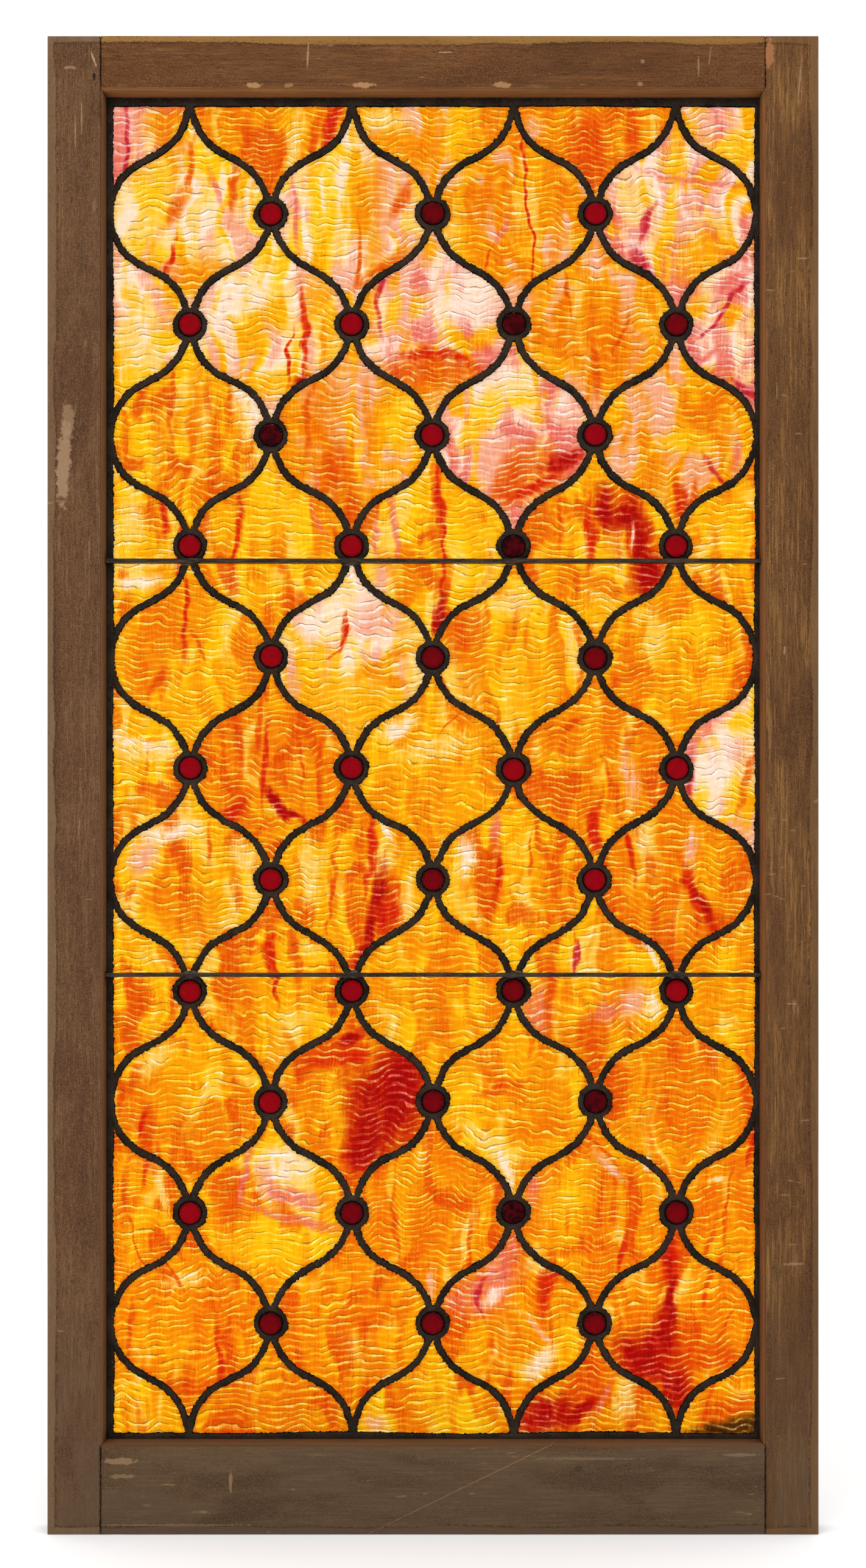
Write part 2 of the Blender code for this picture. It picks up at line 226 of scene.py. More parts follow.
def pane_outline(i, j, into_lead, steps=14, ring_steps=4):
    """The outline of the glass at (i, j), as seen at the lead's edge or that far under it, as x and z."""
    x, z = crossing(i, j)
    sides_x, sides_z = pane_quarters(i, j)
    left = SIGHT_LEFT + BORDER_LEFT - into_lead
    right = SIGHT_RIGHT - BORDER_RIGHT + into_lead
    top = SIGHT_HIGH - BORDER_TOP + into_lead
    bottom = SIGHT_LOW + BORDER_BOTTOM - into_lead
    least_x = {0: left - x, COLUMNS: x - right}.get(i, 0.0)
    least_z = {0: z - top, ROWS: bottom - z}.get(j, 0.0)
    points = []
    for side_x, side_z, reverse in ((1, 1, False), (1, -1, True), (-1, -1, False), (-1, 1, True)):
        if side_x not in sides_x or side_z not in sides_z:
            continue
        most_x = right - x if side_x > 0 else x - left
        path = quarter(
            CAME_HALF - into_lead,
            RING_RADIUS - into_lead if is_jewel(i, j - side_z) else 0.0,
            RING_RADIUS - into_lead if is_jewel(i + side_x, j) else 0.0,
            least_x, least_z, most_x, steps, ring_steps,
        )
        path = path * (side_x, side_z) + (x, z)
        points.append(path[::-1] if reverse else path)
    corners = []
    if len(sides_x) == 1 and len(sides_z) == 1:
        corners = [[(x + sides_x[0] * least_x, z + sides_z[0] * least_z)]]
    outline = np.vstack(points + corners)
    if len(sides_x) == 1 or len(sides_z) == 1:
        outline = with_straight_points(outline)
    return outline


def with_straight_points(outline, count=10):
    """Adds points along an outline's longest straight run, so that it can follow the handwork's wander."""
    following = np.roll(outline, -1, axis=0)
    lengths = np.linalg.norm(following - outline, axis=1)
    pieces = []
    for k, (point, after) in enumerate(zip(outline, following)):
        pieces.append(point[None])
        if lengths[k] > LONG_RUN:
            shares = np.arange(1, count)[:, None] / count
            pieces.append(point + shares * (after - point))
    return np.vstack(pieces)


def circle(centre, radius, sides):
    """Points round a circle, as x and z."""
    angles = 2 * np.pi * np.arange(sides) / sides
    return np.stack([centre[0] + radius * np.cos(angles), centre[1] + radius * np.sin(angles)], axis=-1)


# Mesh helpers

WELD = 0.005 * MM


def add_object(name, data):
    """Puts a mesh, camera or light in the scene."""
    added = bpy.data.objects.new(name, data)
    bpy.context.scene.collection.objects.link(added)
    return added


def add_piece(name, mesh, material):
    """Puts a mesh in the scene as a piece that rides on the window."""
    piece = add_object(name, mesh)
    mesh.materials.append(material)
    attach(piece, "root")
    return piece


def make_piece(name, vertices, faces, material, flat=False):
    """A piece from its points and faces."""
    mesh = bpy.data.meshes.new(name)
    mesh.from_pydata([tuple(v) for v in vertices], [], [tuple(f) for f in faces])
    mesh.update()
    if not flat:
        mesh.shade_smooth()
    return add_piece(name, mesh, material)


def store_faced_out(bm, mesh):
    """Turns a closed shape's faces outward and writes it to a mesh."""
    bmesh.ops.recalc_face_normals(bm, faces=bm.faces)
    bm.to_mesh(mesh)
    bm.free()


def face_out(piece):
    """Joins a piece's points that lie on each other, and turns its faces outward."""
    bm = bmesh.new()
    bm.from_mesh(piece.data)
    bmesh.ops.remove_doubles(bm, verts=bm.verts, dist=WELD)
    store_faced_out(bm, piece.data)


def set_values(mesh, name, values):
    """Stores one number at each corner point of a mesh for its material to read."""
    attribute = mesh.attributes.new(name, "FLOAT", "POINT")
    attribute.data.foreach_set("value", np.asarray(values, np.float32))


def set_colours(mesh, name, colour, strength):
    """Stores a colour and its strength on a whole mesh for its material to read."""
    attribute = mesh.color_attributes.new(name, "FLOAT_COLOR", "POINT")
    rgba = np.tile(np.array([*colour, strength], np.float32), len(mesh.vertices))
    attribute.data.foreach_set("color", rgba)


# Node helpers

class Shader:
    """A material under construction, with short calls for the nodes that it uses."""

    def __init__(self, name, settings):
        self.material = bpy.data.materials.new(name)
        self.material.use_nodes = True
        self.nodes = self.material.node_tree.nodes
        self.links = self.material.node_tree.links
        self.surface = self.nodes["Principled BSDF"]
        for socket, value in settings.items():
            self.surface.inputs[socket].default_value = value
        self.place = self.nodes.new("ShaderNodeTexCoord").outputs["Object"]

    def plug(self, value, socket):
        """Sets a socket to a number or colour, or links it to another."""
        if isinstance(value, bpy.types.NodeSocket):
            self.links.new(value, socket)
        elif hasattr(value, "__len__"):
            socket.default_value = (*value, 1.0) if len(socket.default_value) > len(value) else tuple(value)
        else:
            socket.default_value = value

    def math(self, operation, *values):
        """One sum on numbers or sockets."""
        node = self.nodes.new("ShaderNodeMath")
        node.operation = operation
        for value, socket in zip(values, node.inputs):
            self.plug(value, socket)
        return node.outputs[0]

    def plus(self, first, second):
        """Adds."""
        return self.math("ADD", first, second)

    def minus(self, first, second):
        """Takes the second from the first."""
        return self.math("SUBTRACT", first, second)

    def rest(self, share):
        """What a share leaves of 1."""
        return self.math("SUBTRACT", 1.0, share)

    def times(self, first, second):
        """Multiplies."""
        return self.math("MULTIPLY", first, second)

    def over(self, first, second):
        """Divides the first by the second."""
        return self.math("DIVIDE", first, second)

    def larger(self, first, second):
        """The larger of two."""
        return self.math("MAXIMUM", first, second)

    def smaller(self, first, second):
        """The smaller of two."""
        return self.math("MINIMUM", first, second)

    def size(self, value):
        """A value without its sign."""
        return self.math("ABSOLUTE", value)

    def sine(self, angle):
        """An angle's sine."""
        return self.math("SINE", angle)

    def reach(self, across, up):
        """How far a place is from the middle."""
        return self.math("SQRT", self.plus(self.times(across, across), self.times(up, up)))

    def swing(self, noise, strength):
        """Noise brought round zero, times a strength."""
        return self.times(self.minus(noise, 0.5), strength)

    def stretched(self, scale, rotation=(0.0, 0.0, 0.0), shift=(0.0, 0.0, 0.0), source=None):
        """The object's own coordinates, scaled, turned and shifted."""
        node = self.nodes.new("ShaderNodeMapping")
        self.links.new(source or self.place, node.inputs["Vector"])
        node.inputs["Scale"].default_value = scale
        node.inputs["Rotation"].default_value = rotation
        node.inputs["Location"].default_value = shift
        return node.outputs[0]

    def noise(self, vector, scale=1.0, detail=2.0, roughness=0.5, distortion=0.0):
        """Smooth noise, worth about 0.3 to 0.7."""
        node = self.nodes.new("ShaderNodeTexNoise")
        self.links.new(vector, node.inputs["Vector"])
        node.inputs["Scale"].default_value = scale
        node.inputs["Detail"].default_value = detail
        node.inputs["Roughness"].default_value = roughness
        node.inputs["Distortion"].default_value = distortion
        return node.outputs["Fac"]

    def pane_noise(self, across, up, detail, roughness=0.5, distortion=0.0, source=None):
        """Noise on a pane, with its own scale across and up."""
        vector = self.stretched((across, 1, up), source=source)
        return self.noise(vector, 1.0, detail, roughness, distortion)

    def moved(self, across, up):
        """The object's own coordinates, moved across and up."""
        offset = self.nodes.new("ShaderNodeCombineXYZ")
        self.plug(across, offset.inputs["X"])
        self.plug(up, offset.inputs["Z"])
        node = self.nodes.new("ShaderNodeVectorMath")
        node.operation = "ADD"
        self.plug(self.place, node.inputs[0])
        self.plug(offset.outputs[0], node.inputs[1])
        return node.outputs[0]

    def grit(self, scale, detail, roughness=0.5):
        """Noise that is alike in every direction."""
        return self.noise(self.place, scale, detail, roughness)

    def step(self, value, start, end, at_start=0.0, at_end=1.0):
        """Eases from at_start to at_end while value goes from start to end."""
        node = self.nodes.new("ShaderNodeMapRange")
        node.interpolation_type = "SMOOTHSTEP"
        for socket, number in zip(node.inputs, (value, start, end, at_start, at_end)):
            self.plug(number, socket)
        return node.outputs[0]

    def mix(self, share, first, second, blend="MIX"):
        """Blends two colours."""
        node = self.nodes.new("ShaderNodeMix")
        node.data_type = "RGBA"
        node.blend_type = blend
        self.plug(share, node.inputs[0])
        self.plug(first, node.inputs[6])
        self.plug(second, node.inputs[7])
        return node.outputs[2]

    def tinge(self, colour, value, start, end, most, tone):
        """Works a screen colour in, more and more while value goes from start to end."""
        return self.mix(self.step(value, start, end, 0.0, most), colour, linear(*tone))

    def tint_front(self, colour):
        """Glass takes its tint at each face. This tints the front twice and leaves the back clear."""
        return self.mix(self.read("front"), (1.0, 1.0, 1.0), self.mix(1.0, colour, colour, "MULTIPLY"))

    def read(self, name, output="Fac"):
        """A value stored on the mesh."""
        node = self.nodes.new("ShaderNodeAttribute")
        node.attribute_name = name
        return node.outputs[output]

    def axes(self):
        """The object's own x, y and z."""
        node = self.nodes.new("ShaderNodeSeparateXYZ")
        self.links.new(self.place, node.inputs[0])
        return node.outputs[0], node.outputs[1], node.outputs[2]

    def bump(self, height, distance, strength):
        """Tilts the surface by a height."""
        node = self.nodes.new("ShaderNodeBump")
        node.inputs["Strength"].default_value = strength
        node.inputs["Distance"].default_value = distance
        self.plug(height, node.inputs["Height"])
        return node.outputs[0]

    def finish(self, colour, roughness=None, normal=None):
        """Links the results to the surface."""
        self.plug(colour, self.surface.inputs["Base Color"])
        if roughness is not None:
            self.plug(roughness, self.surface.inputs["Roughness"])
        if normal is not None:
            self.links.new(normal, self.surface.inputs["Normal"])
        return self.material


# Glass colours

COLOURS = {
    "white": linear(253, 232, 214),
    "cream": linear(252, 216, 130),
    "pink": linear(247, 184, 156),
    "rose": linear(238, 132, 118),
    "magenta": linear(204, 52, 66),
    "yellow": linear(253, 203, 17),
    "gold": linear(250, 178, 2),
    "amber": linear(246, 157, 1),
    "orange": linear(241, 130, 1),
    "rust": linear(228, 84, 2),
    "red": linear(218, 46, 6),
    "crimson": linear(182, 14, 8),
    "soot_and_painted_shade": linear(96, 58, 12),
}

# A sheet's main colour, then its four kinds of streak: (colour, share of the sheet)
SHEETS = {
    "amber": ("gold", [("yellow", 0.36), ("cream", 0.15), ("orange", 0.22), ("rust", 0.03)]),
    "light": ("yellow", [("gold", 0.45), ("cream", 0.26), ("orange", 0.10), ("rust", 0.02)]),
    "gold": ("gold", [("yellow", 0.35), ("cream", 0.10), ("amber", 0.40), ("orange", 0.10)]),
    "deep": ("amber", [("gold", 0.40), ("cream", 0.05), ("orange", 0.36), ("rust", 0.05)]),
    "orange": ("amber", [("gold", 0.26), ("cream", 0.08), ("orange", 0.46), ("rust", 0.10)]),
    "cream": ("cream", [("yellow", 0.24), ("white", 0.36), ("gold", 0.15), ("pink", 0.28)]),
    "peach": ("amber", [("cream", 0.36), ("gold", 0.30), ("orange", 0.20), ("pink", 0.24)]),
    "rose": ("pink", [("white", 0.34), ("cream", 0.20), ("gold", 0.14), ("rose", 0.20)]),
}

# Which sheet each tile was cut from, by crossing
SHEET_OF = {
    "amber": {(6, 4), (0, 8), (2, 8), (6, 8), (3, 7), (5, 7), (1, 9)},
    "light": {(1, 3), (0, 4), (2, 4), (4, 4), (8, 4), (5, 5), (0, 6), (1, 7), (2, 10), (4, 12)},
    "gold": {(1, 5), (7, 5), (4, 6), (4, 8), (8, 8), (5, 9), (0, 12), (8, 12)},
    "deep": {(2, 6), (6, 6), (7, 9), (4, 10), (6, 10), (1, 11), (3, 11), (5, 11), (2, 12)},
    "orange": {(2, 0), (6, 0), (7, 7), (3, 9), (0, 10), (8, 10), (7, 11), (6, 12)},
    "cream": {(0, 2), (1, 1), (3, 1), (2, 2), (3, 5), (8, 6)},
    "peach": {(4, 0), (5, 1), (6, 2), (3, 3), (7, 3)},
    "rose": {(0, 0), (8, 0), (7, 1), (4, 2), (8, 2), (5, 3)},
}

# Stronger marks in single tiles, in millimetres from the tile's crossing, later ones over earlier ones:
# (colour, across, up, half width, half length, degrees clockwise from upright, sideways bend of the ends)
MARKS = {
    (0, 0): [("rose", 8, -40, 6, 34, 0), ("magenta", 13, -34, 1.4, 26, -3),
             ("amber", 48, -17, 15, 14, 0)],
    (2, 0): [("cream", 17, -34, 4, 34, 5), ("red", 46, -22, 3.5, 22, 10), ("rust", 34, -30, 3, 18, 15),
             ("rust", -20, -38, 2, 20, 0)],
    (4, 0): [("cream", -40, -16, 8, 18, 90), ("yellow", 20, -26, 8, 22, 0),
             ("amber", -5, -40, 10, 14, 0)],
    (6, 0): [("pink", -50, -18, 8, 8, 0), ("rust", -6, -42, 12, 30, 0), ("rust", 30, -20, 3, 22, 0)],
    (8, 0): [("yellow", -22, -38, 10, 15, 60), ("pink", -45, -22, 7, 14, 0)],
    (1, 1): [("rust", 0, 42, 1.8, 17, 5), ("orange", -12, 46, 5, 20, 0), ("rust", 35, 22, 1.8, 19, 5),
             ("rose", 21, 22, 2, 13, -20), ("rust", -9, 6, 5, 11, 35), ("red", -16, -36, 2.2, 13, 10),
             ("yellow", -30, 22, 12, 16, 20), ("orange", 8, -46, 7, 22, 80)],
    (3, 1): [("yellow", -27, 8, 2.6, 44, 0), ("yellow", -17, 12, 3, 40, 3),
             ("rose", -44, 4, 1.6, 26, -3), ("white", -36, -12, 2, 30, -4),
             ("rust", 42, 8, 4, 13, 20, -3), ("rust", 24, -44, 5, 18, 60), ("orange", 14, 8, 9, 38, 0),
             ("rust", 4, -34, 1.2, 22, 0)],
    (5, 1): [("red", 11, 3, 0.9, 58, -3), ("rose", -11, -12, 2.6, 11, 20),
             ("orange", -26, 0, 5, 20, 90), ("orange", 2, 52, 3, 14, 0), ("rust", -19, -34, 1.0, 9, 10),
             ("orange", 34, -14, 4, 26, 5)],
    (7, 1): [("yellow", -2, 41, 8, 13, 10), ("rose", 12, 27, 2.2, 36, 99, -2),
             ("magenta", -25, -8, 2, 12, 20), ("magenta", -28, -37, 4, 11, -45),
             ("yellow", -6, -14, 5, 32, 5), ("gold", 22, -34, 15, 20, 20),
             ("rose", 55, -14, 2.5, 14, -12), ("cream", -38, 14, 6, 18, 0)],
    (0, 2): [("pink", 44, 14, 5, 13, -30), ("cream", 16, -14, 9, 22, 0)],
    (2, 2): [("white", -24, 20, 13, 38, 52), ("red", 26, -8, 2, 33, -3),
             ("crimson", 25, -44, 3.6, 8, 60), ("red", 15, -28, 1.0, 20, 5), ("gold", 42, 8, 9, 30, -8),
             ("orange", 41, -14, 2, 20, -10), ("gold", -4, -50, 10, 22, 90),
             ("yellow", 8, 48, 5, 16, 20)],
    (4, 2): [("white", 26, 24, 18, 30, 60), ("magenta", -44, 21, 1.5, 20, 12, 6),
             ("yellow", -33, 10, 4, 12, 25), ("amber", -54, 10, 6, 13, 20),
             ("rust", 0, -38, 9, 40, 95, 5), ("red", 4, -26, 3.2, 26, 101, 3),
             ("orange", 4, -54, 11, 24, 90), ("gold", 38, -12, 5, 20, 62)],
    (6, 2): [("pink", 0, 48, 7, 12, 0), ("rust", -21, 20, 1.0, 14, -10), ("orange", 12, -20, 24, 30, 0),
             ("rust", 20, -12, 1.4, 20, 10), ("rust", 2, -38, 2, 18, 0)],
    (8, 2): [("magenta", -28, 10, 1.5, 29, 43, 3), ("rose", -17, 32, 2, 20, 50),
             ("rose", -50, -8, 3, 9, 0), ("magenta", -10, -46, 2.6, 12, -50),
             ("rose", -38, -26, 1.6, 14, 40), ("gold", -52, 14, 5, 10, 50)],
    (1, 3): [("rust", -40, 26, 3, 17, 5), ("rust", -15, 30, 1.8, 30, 0), ("orange", 5, 18, 5, 32, 0),
             ("rust", 32, 30, 2.5, 21, 3), ("white", 47, 22, 9, 22, -10), ("rust", 18, -30, 4, 26, 0),
             ("rust", -47, -24, 5, 9, 60), ("orange", -24, -6, 4, 34, 0)],
    (3, 3): [("orange", -28, 4, 14, 34, 0), ("rust", -36, 12, 2, 22, 5), ("rust", -14, -30, 9, 20, 0),
             ("yellow", 5, -22, 2, 24, 0), ("rose", -27, -42, 2, 10, -10), ("rust", 2, -56, 6, 14, 0),
             ("yellow", 40, 10, 10, 20, 0), ("orange", 14, 10, 3, 30, 0)],
    (5, 3): [("rose", 30, 38, 4, 13, 60), ("yellow", -26, 12, 8, 26, 40), ("rose", -54, -4, 4, 12, -20),
             ("orange", 14, -30, 14, 20, 30), ("rust", -6, -36, 8, 22, 25),
             ("crimson", 38, -21, 3.6, 13, 75, -3), ("yellow", 8, 28, 4, 14, 80),
             ("red", 18, -36, 3, 17, 60)],
    (7, 3): [("yellow", -50, 20, 5, 17, 20), ("magenta", 32, -28, 1.8, 12, -35),
             ("red", 3, -52, 4, 13, 0), ("orange", -18, -34, 8, 18, 20), ("orange", 32, 8, 4, 28, 5),
             ("rust", 14, -46, 2, 12, 20), ("yellow", 8, -8, 8, 22, 90), ("rose", 48, -14, 3, 14, 0)],
    (0, 4): [("red", 43, 26, 2.6, 15, -5), ("red", 57, 0, 2, 20, 5), ("white", 24, -30, 5, 18, 90),
             ("cream", 18, 22, 8, 22, 0), ("cream", 30, -14, 4, 22, 90)],
    (2, 4): [("red", -26, 10, 1.5, 26, 3), ("rust", -25, 20, 3, 14, 0), ("rose", 38, 22, 2, 13, -30),
             ("rust", 52, 6, 2, 13, -10), ("rust", -30, -26, 3, 12, 0), ("yellow", 4, 30, 12, 22, 0)],
    (4, 4): [("red", 5, 38, 2.4, 30, 0), ("red", 6, -12, 1.2, 24, 0), ("crimson", 7, -56, 3.6, 15, 0),
             ("rose", -30, 12, 2, 24, -8), ("rose", -45, 8, 1.6, 14, 0), ("pink", -42, -28, 5, 14, 25)],
    (6, 4): [("crimson", 7, 30, 6, 14, 0), ("crimson", 22, 26, 7, 11, 60),
             ("crimson", 37, 2, 8, 27, -12), ("crimson", 45, -24, 10, 15, 30),
             ("red", -5, 14, 2.6, 22, 0), ("orange", -30, 24, 8, 24, 0), ("rust", -26, 18, 1.4, 14, 0),
             ("white", 29, 10, 1.6, 10, 0)],
    (8, 4): [("orange", -52, 6, 4, 18, 0), ("yellow", -20, 0, 10, 30, 0)],
    (1, 5): [("red", -4, 34, 1.6, 27, -3), ("rust", 6, 8, 1.0, 11, -15),
             ("orange", -32, -8, 12, 20, 30), ("rust", -26, -20, 2.4, 13, 30),
             ("orange", 47, -12, 5, 11, 0)],
    (3, 5): [("white", -20, 28, 14, 24, 62), ("pink", 26, 30, 10, 18, 110),
             ("red", -5, 18, 1.6, 11, 10), ("rust", -13, 2, 0.8, 11, 50, -2),
             ("orange", 26, -2, 3.6, 23, 62, 3), ("orange", 32, -18, 3, 20, 110),
             ("gold", -4, -42, 22, 32, 90), ("yellow", -32, -6, 9, 15, 40)],
    (5, 5): [("cream", 2, 46, 13, 15, 0), ("rust", -44, 18, 5, 17, 10), ("orange", -34, -6, 9, 28, 0),
             ("cream", 45, 8, 4, 17, 0), ("gold", 12, -16, 20, 30, 0)],
    (7, 5): [("rust", 50, -20, 7, 16, 30), ("rust", 57, 6, 2.2, 22, 0), ("rust", -40, -20, 2, 16, 58),
             ("orange", -30, -22, 9, 20, 60)],
    (0, 6): [("white", 26, 20, 4, 24, 90), ("cream", 30, 12, 4, 28, 90),
             ("orange", 18, -30, 6, 16, 90)],
    (2, 6): [("rust", 42, -4, 2, 28, 0), ("crimson", 4, -26, 3.4, 13, -35), ("red", -5, 6, 2, 24, 5),
             ("crimson", 14, -36, 2.6, 10, -60), ("red", -31, -34, 6, 12, 40),
             ("rust", -10, 36, 2, 26, 5), ("rust", -28, 20, 3.6, 26, 0), ("rust", 26, 10, 1.4, 30, 0)],
    (4, 6): [("white", -28, 34, 7, 15, 60), ("cream", 2, 14, 8, 28, 84), ("rust", 12, 34, 0.8, 10, 40)],
    (6, 6): [("rust", -19, 36, 2.8, 13, 60), ("rust", 31, 24, 3.4, 15, 40),
             ("pink", 26, -8, 6, 22, -10), ("rust", 13, -20, 1.4, 26, -15), ("red", 1, -48, 3.6, 18, 0),
             ("yellow", 11, -50, 3, 14, 10)],
    (8, 6): [("rose", -38, 32, 6, 13, 40), ("rose", -54, 16, 4, 13, 0), ("magenta", -54, -6, 2, 12, 0),
             ("rust", -10, -10, 2.4, 22, 15), ("white", -32, -4, 8, 30, 8),
             ("yellow", -26, -40, 2.6, 13, 15)],
    (1, 7): [("pink", -38, 18, 8, 14, 30), ("white", -14, 38, 5, 20, 75), ("rust", 14, 28, 1.4, 19, 5),
             ("orange", 8, -30, 12, 26, 0), ("orange", -22, -16, 12, 22, 0),
             ("cream", 44, 20, 9, 15, -20)],
    (3, 7): [("red", 14, 30, 2.4, 30, 4), ("crimson", 24, -14, 4.6, 22, -4),
             ("red", 29, -30, 8, 16, 20), ("crimson", 12, -42, 2.8, 18, 20),
             ("cream", 46, -14, 5, 19, 10), ("white", 27, 42, 2, 15, -20), ("cream", -34, 8, 6, 24, 0),
             ("rust", -15, -8, 1.2, 28, 8)],
    (5, 7): [("white", -40, 18, 6, 20, 0), ("red", -12, 4, 2.4, 20, 3), ("rust", -18, 22, 3.4, 15, 10),
             ("rose", -13, 38, 4, 11, 0), ("rust", 24, 26, 1.8, 19, -10), ("orange", 30, -6, 10, 30, 0),
             ("rust", 14, 20, 1.0, 15, 10)],
    (7, 7): [("red", -38, 22, 1.8, 19, -15), ("red", 12, -8, 2.8, 20, -10),
             ("crimson", 23, -26, 2.8, 17, -30), ("rust", 30, -34, 6, 9, 30),
             ("rust", 0, -60, 5, 15, 0), ("pink", 12, 26, 5, 15, 0), ("cream", -28, 30, 5, 12, 0),
             ("orange", -10, -4, 8, 32, 0)],
    (2, 8): [("red", 1, 28, 3.4, 19, 0), ("red", 5, 6, 1.5, 13, 0), ("rust", 20, 30, 3, 22, -8),
             ("orange", -24, -8, 10, 24, 0)],
    (4, 8): [("orange", 10, -40, 6, 20, 0), ("orange", 30, 4, 2, 24, 0)],
    (6, 8): [("rose", -44, -16, 11, 17, 0), ("rust", -37, -6, 2.6, 22, 0),
             ("magenta", -15, 27, 1.8, 13, 0), ("rust", -4, -40, 12, 18, 10),
             ("pink", 32, -8, 11, 18, 0), ("white", 48, -12, 4, 14, 0), ("white", 43, 32, 2.6, 14, -30),
             ("rose", 8, -16, 7, 14, 60)],
    (1, 9): [("cream", -26, 34, 8, 15, 45), ("rust", -44, 20, 4, 13, 30),
             ("rust", -34, -24, 4.6, 18, 8), ("red", -38, -20, 1.8, 12, 20),
             ("orange", -12, -22, 8, 26, 0), ("rust", -56, 4, 2, 16, 0)],
    (3, 9): [("crimson", 40, 20, 14, 22, 0), ("crimson", 26, -6, 24, 30, 5),
             ("crimson", 10, -38, 10, 16, 0), ("red", -10, 36, 5, 22, 78), ("rust", -20, 42, 8, 16, 60),
             ("yellow", -14, 4, 6, 24, 0), ("rust", -40, 28, 5, 11, 30),
             ("crimson", -2, 52, 3, 10, 70)],
    (5, 9): [("cream", -26, -28, 7, 23, 120), ("white", -6, -56, 4, 14, -20),
             ("rust", -10, 9, 1.8, 15, 70), ("yellow", -38, 6, 8, 18, 0),
             ("orange", 22, -20, 8, 18, 50)],
    (7, 9): [("rust", 56, 12, 4, 20, 0), ("rust", 56, -18, 3, 18, 10), ("orange", -12, -20, 9, 30, 90)],
    (0, 10): [("red", 30, 44, 2.2, 17, -5), ("rust", 14, 12, 2.6, 22, 0), ("cream", 44, 14, 3, 15, 0),
              ("yellow", 22, -20, 9, 18, 0), ("rust", 24, -22, 0.8, 18, -25)],
    (2, 10): [("white", 10, 38, 13, 22, 80), ("yellow", -6, -28, 15, 36, 90),
              ("rose", -23, 28, 3, 25, 8, 6), ("pink", -2, 22, 6, 16, -30),
              ("rose", 16, -4, 3.4, 36, 104, -4), ("gold", 10, -54, 12, 14, 0),
              ("rose", 20, 12, 5, 24, 112, -5)],
    (4, 10): [("rust", 50, 14, 2, 20, 0), ("pink", -3, -60, 3.4, 12, 0), ("rust", 30, -28, 1.4, 26, 5),
              ("rust", -30, -6, 1.2, 28, 0)],
    (6, 10): [("rose", -50, 18, 5, 13, 0), ("rust", 6, 48, 1.4, 17, -50),
              ("pink", 10, 37, 3.4, 16, -48), ("white", 36, 40, 2.6, 11, -40),
              ("red", 24, -32, 1.8, 11, 5), ("yellow", -22, 14, 10, 22, 30)],
    (8, 10): [("red", -4, 60, 2, 17, 0), ("rust", -22, 10, 1.2, 24, 5), ("white", -32, 26, 3, 7, 90)],
    (1, 11): [("red", 24, -26, 2, 19, 3), ("rust", 29, -8, 1.2, 16, 15), ("rust", 0, -50, 6, 16, 80),
              ("rust", -48, -6, 1.8, 17, 10), ("cream", -4, 36, 4, 15, 70),
              ("rust", -14, 42, 0.8, 17, -35)],
    (3, 11): [("rust", -9, -38, 0.8, 9, 0), ("orange", -46, 0, 5, 24, 0), ("orange", 10, 8, 7, 40, 75)],
    (5, 11): [("rose", -32, 24, 14, 28, 68), ("rose", -5, 50, 12, 24, 10),
              ("white", -19, 22, 4, 11, 62), ("magenta", -33, 24, 1.8, 14, 14, 10),
              ("red", 24, 30, 4.5, 24, 18, 5), ("white", 20, -32, 9, 15, 50),
              ("yellow", 46, -14, 6, 14, 0), ("pink", 16, -4, 2, 15, -42)],
    (7, 11): [("red", -4, 50, 6, 24, 0), ("crimson", -6, 20, 3, 30, 2),
              ("crimson", -12, -14, 7, 24, 10), ("crimson", -24, -28, 14, 24, 110),
              ("crimson", 0, -54, 9, 18, 0), ("rust", 24, -27, 9, 30, 92),
              ("rust", 26, 30, 1.4, 17, 10), ("rust", 40, -2, 1.0, 11, 20)],
    (2, 12): [("orange", 22, 40, 10, 22, 40), ("orange", -20, 20, 8, 20, 90)],
    (4, 12): [("pink", -46, 10, 6, 9, 80), ("yellow", 4, 30, 14, 20, 0)],
    (6, 12): [("crimson", -36, 18, 11, 24, 82), ("crimson", -8, 18, 5, 16, 50),
              ("rust", -8, 42, 9, 14, 40), ("rose", 10, 28, 2.4, 16, 20), ("cream", 26, 24, 7, 15, 0)],
    (8, 12): [("rust", -38, 22, 1.4, 21, 5), ("soot_and_painted_shade", -8, 6, 8, 26, 78), ("soot_and_painted_shade", -26, 5, 4, 24, 86),
              ("rust", -24, 20, 6, 18, 70)],
}


ROW_STEP = 1.02 * MM
COLUMN_STEP = 3.2 * MM
EDGE_TRIM = 0.02 * MM
TUCKED_UNDER = 1.4 * MM
RIPPLE_HEIGHT = 0.26 * MM
POINTS_AT_ONCE = 4000
DYE_POWER = 0.25

# A streak shows where its field is above 0. This is how far a share of 1 instead of 0 lifts the field.
FIELD_SPAN = 1.7

# How many marks a tile can have, how much wider and longer than their half sizes they fade out, and how
# well each colour covers. A slot without a mark holds one too far off to show.
MARK_SLOTS = 8
MARK_WIDER = 1.45
MARK_LONGER = 1.3
MARK_COVER = {
    "rose": 0.84, "orange": 0.55, "rust": 0.72, "gold": 0.75, "yellow": 0.80, "amber": 0.75, "soot_and_painted_shade": 0.85,
}
USUAL_MARK_COVER = 0.94
FAR_MARK = 9.0
FAR_MARK_WIDTH = 10.0

# How well a streak of each colour covers the sheet's main one
STREAK_COVER = {"cream": 0.75, "orange": 0.72, "rust": 0.6}
USUAL_STREAK_COVER = 0.9


def tile_seed(kind, i, j):
    """A tile's own seed for one kind of noise."""
    return 1000 * kind + 100 * i + j


def sheet_name(i, j):
    """Which kind of sheet a tile was cut from."""
    return next(sheet for sheet, tiles in SHEET_OF.items() if (i, j) in tiles)


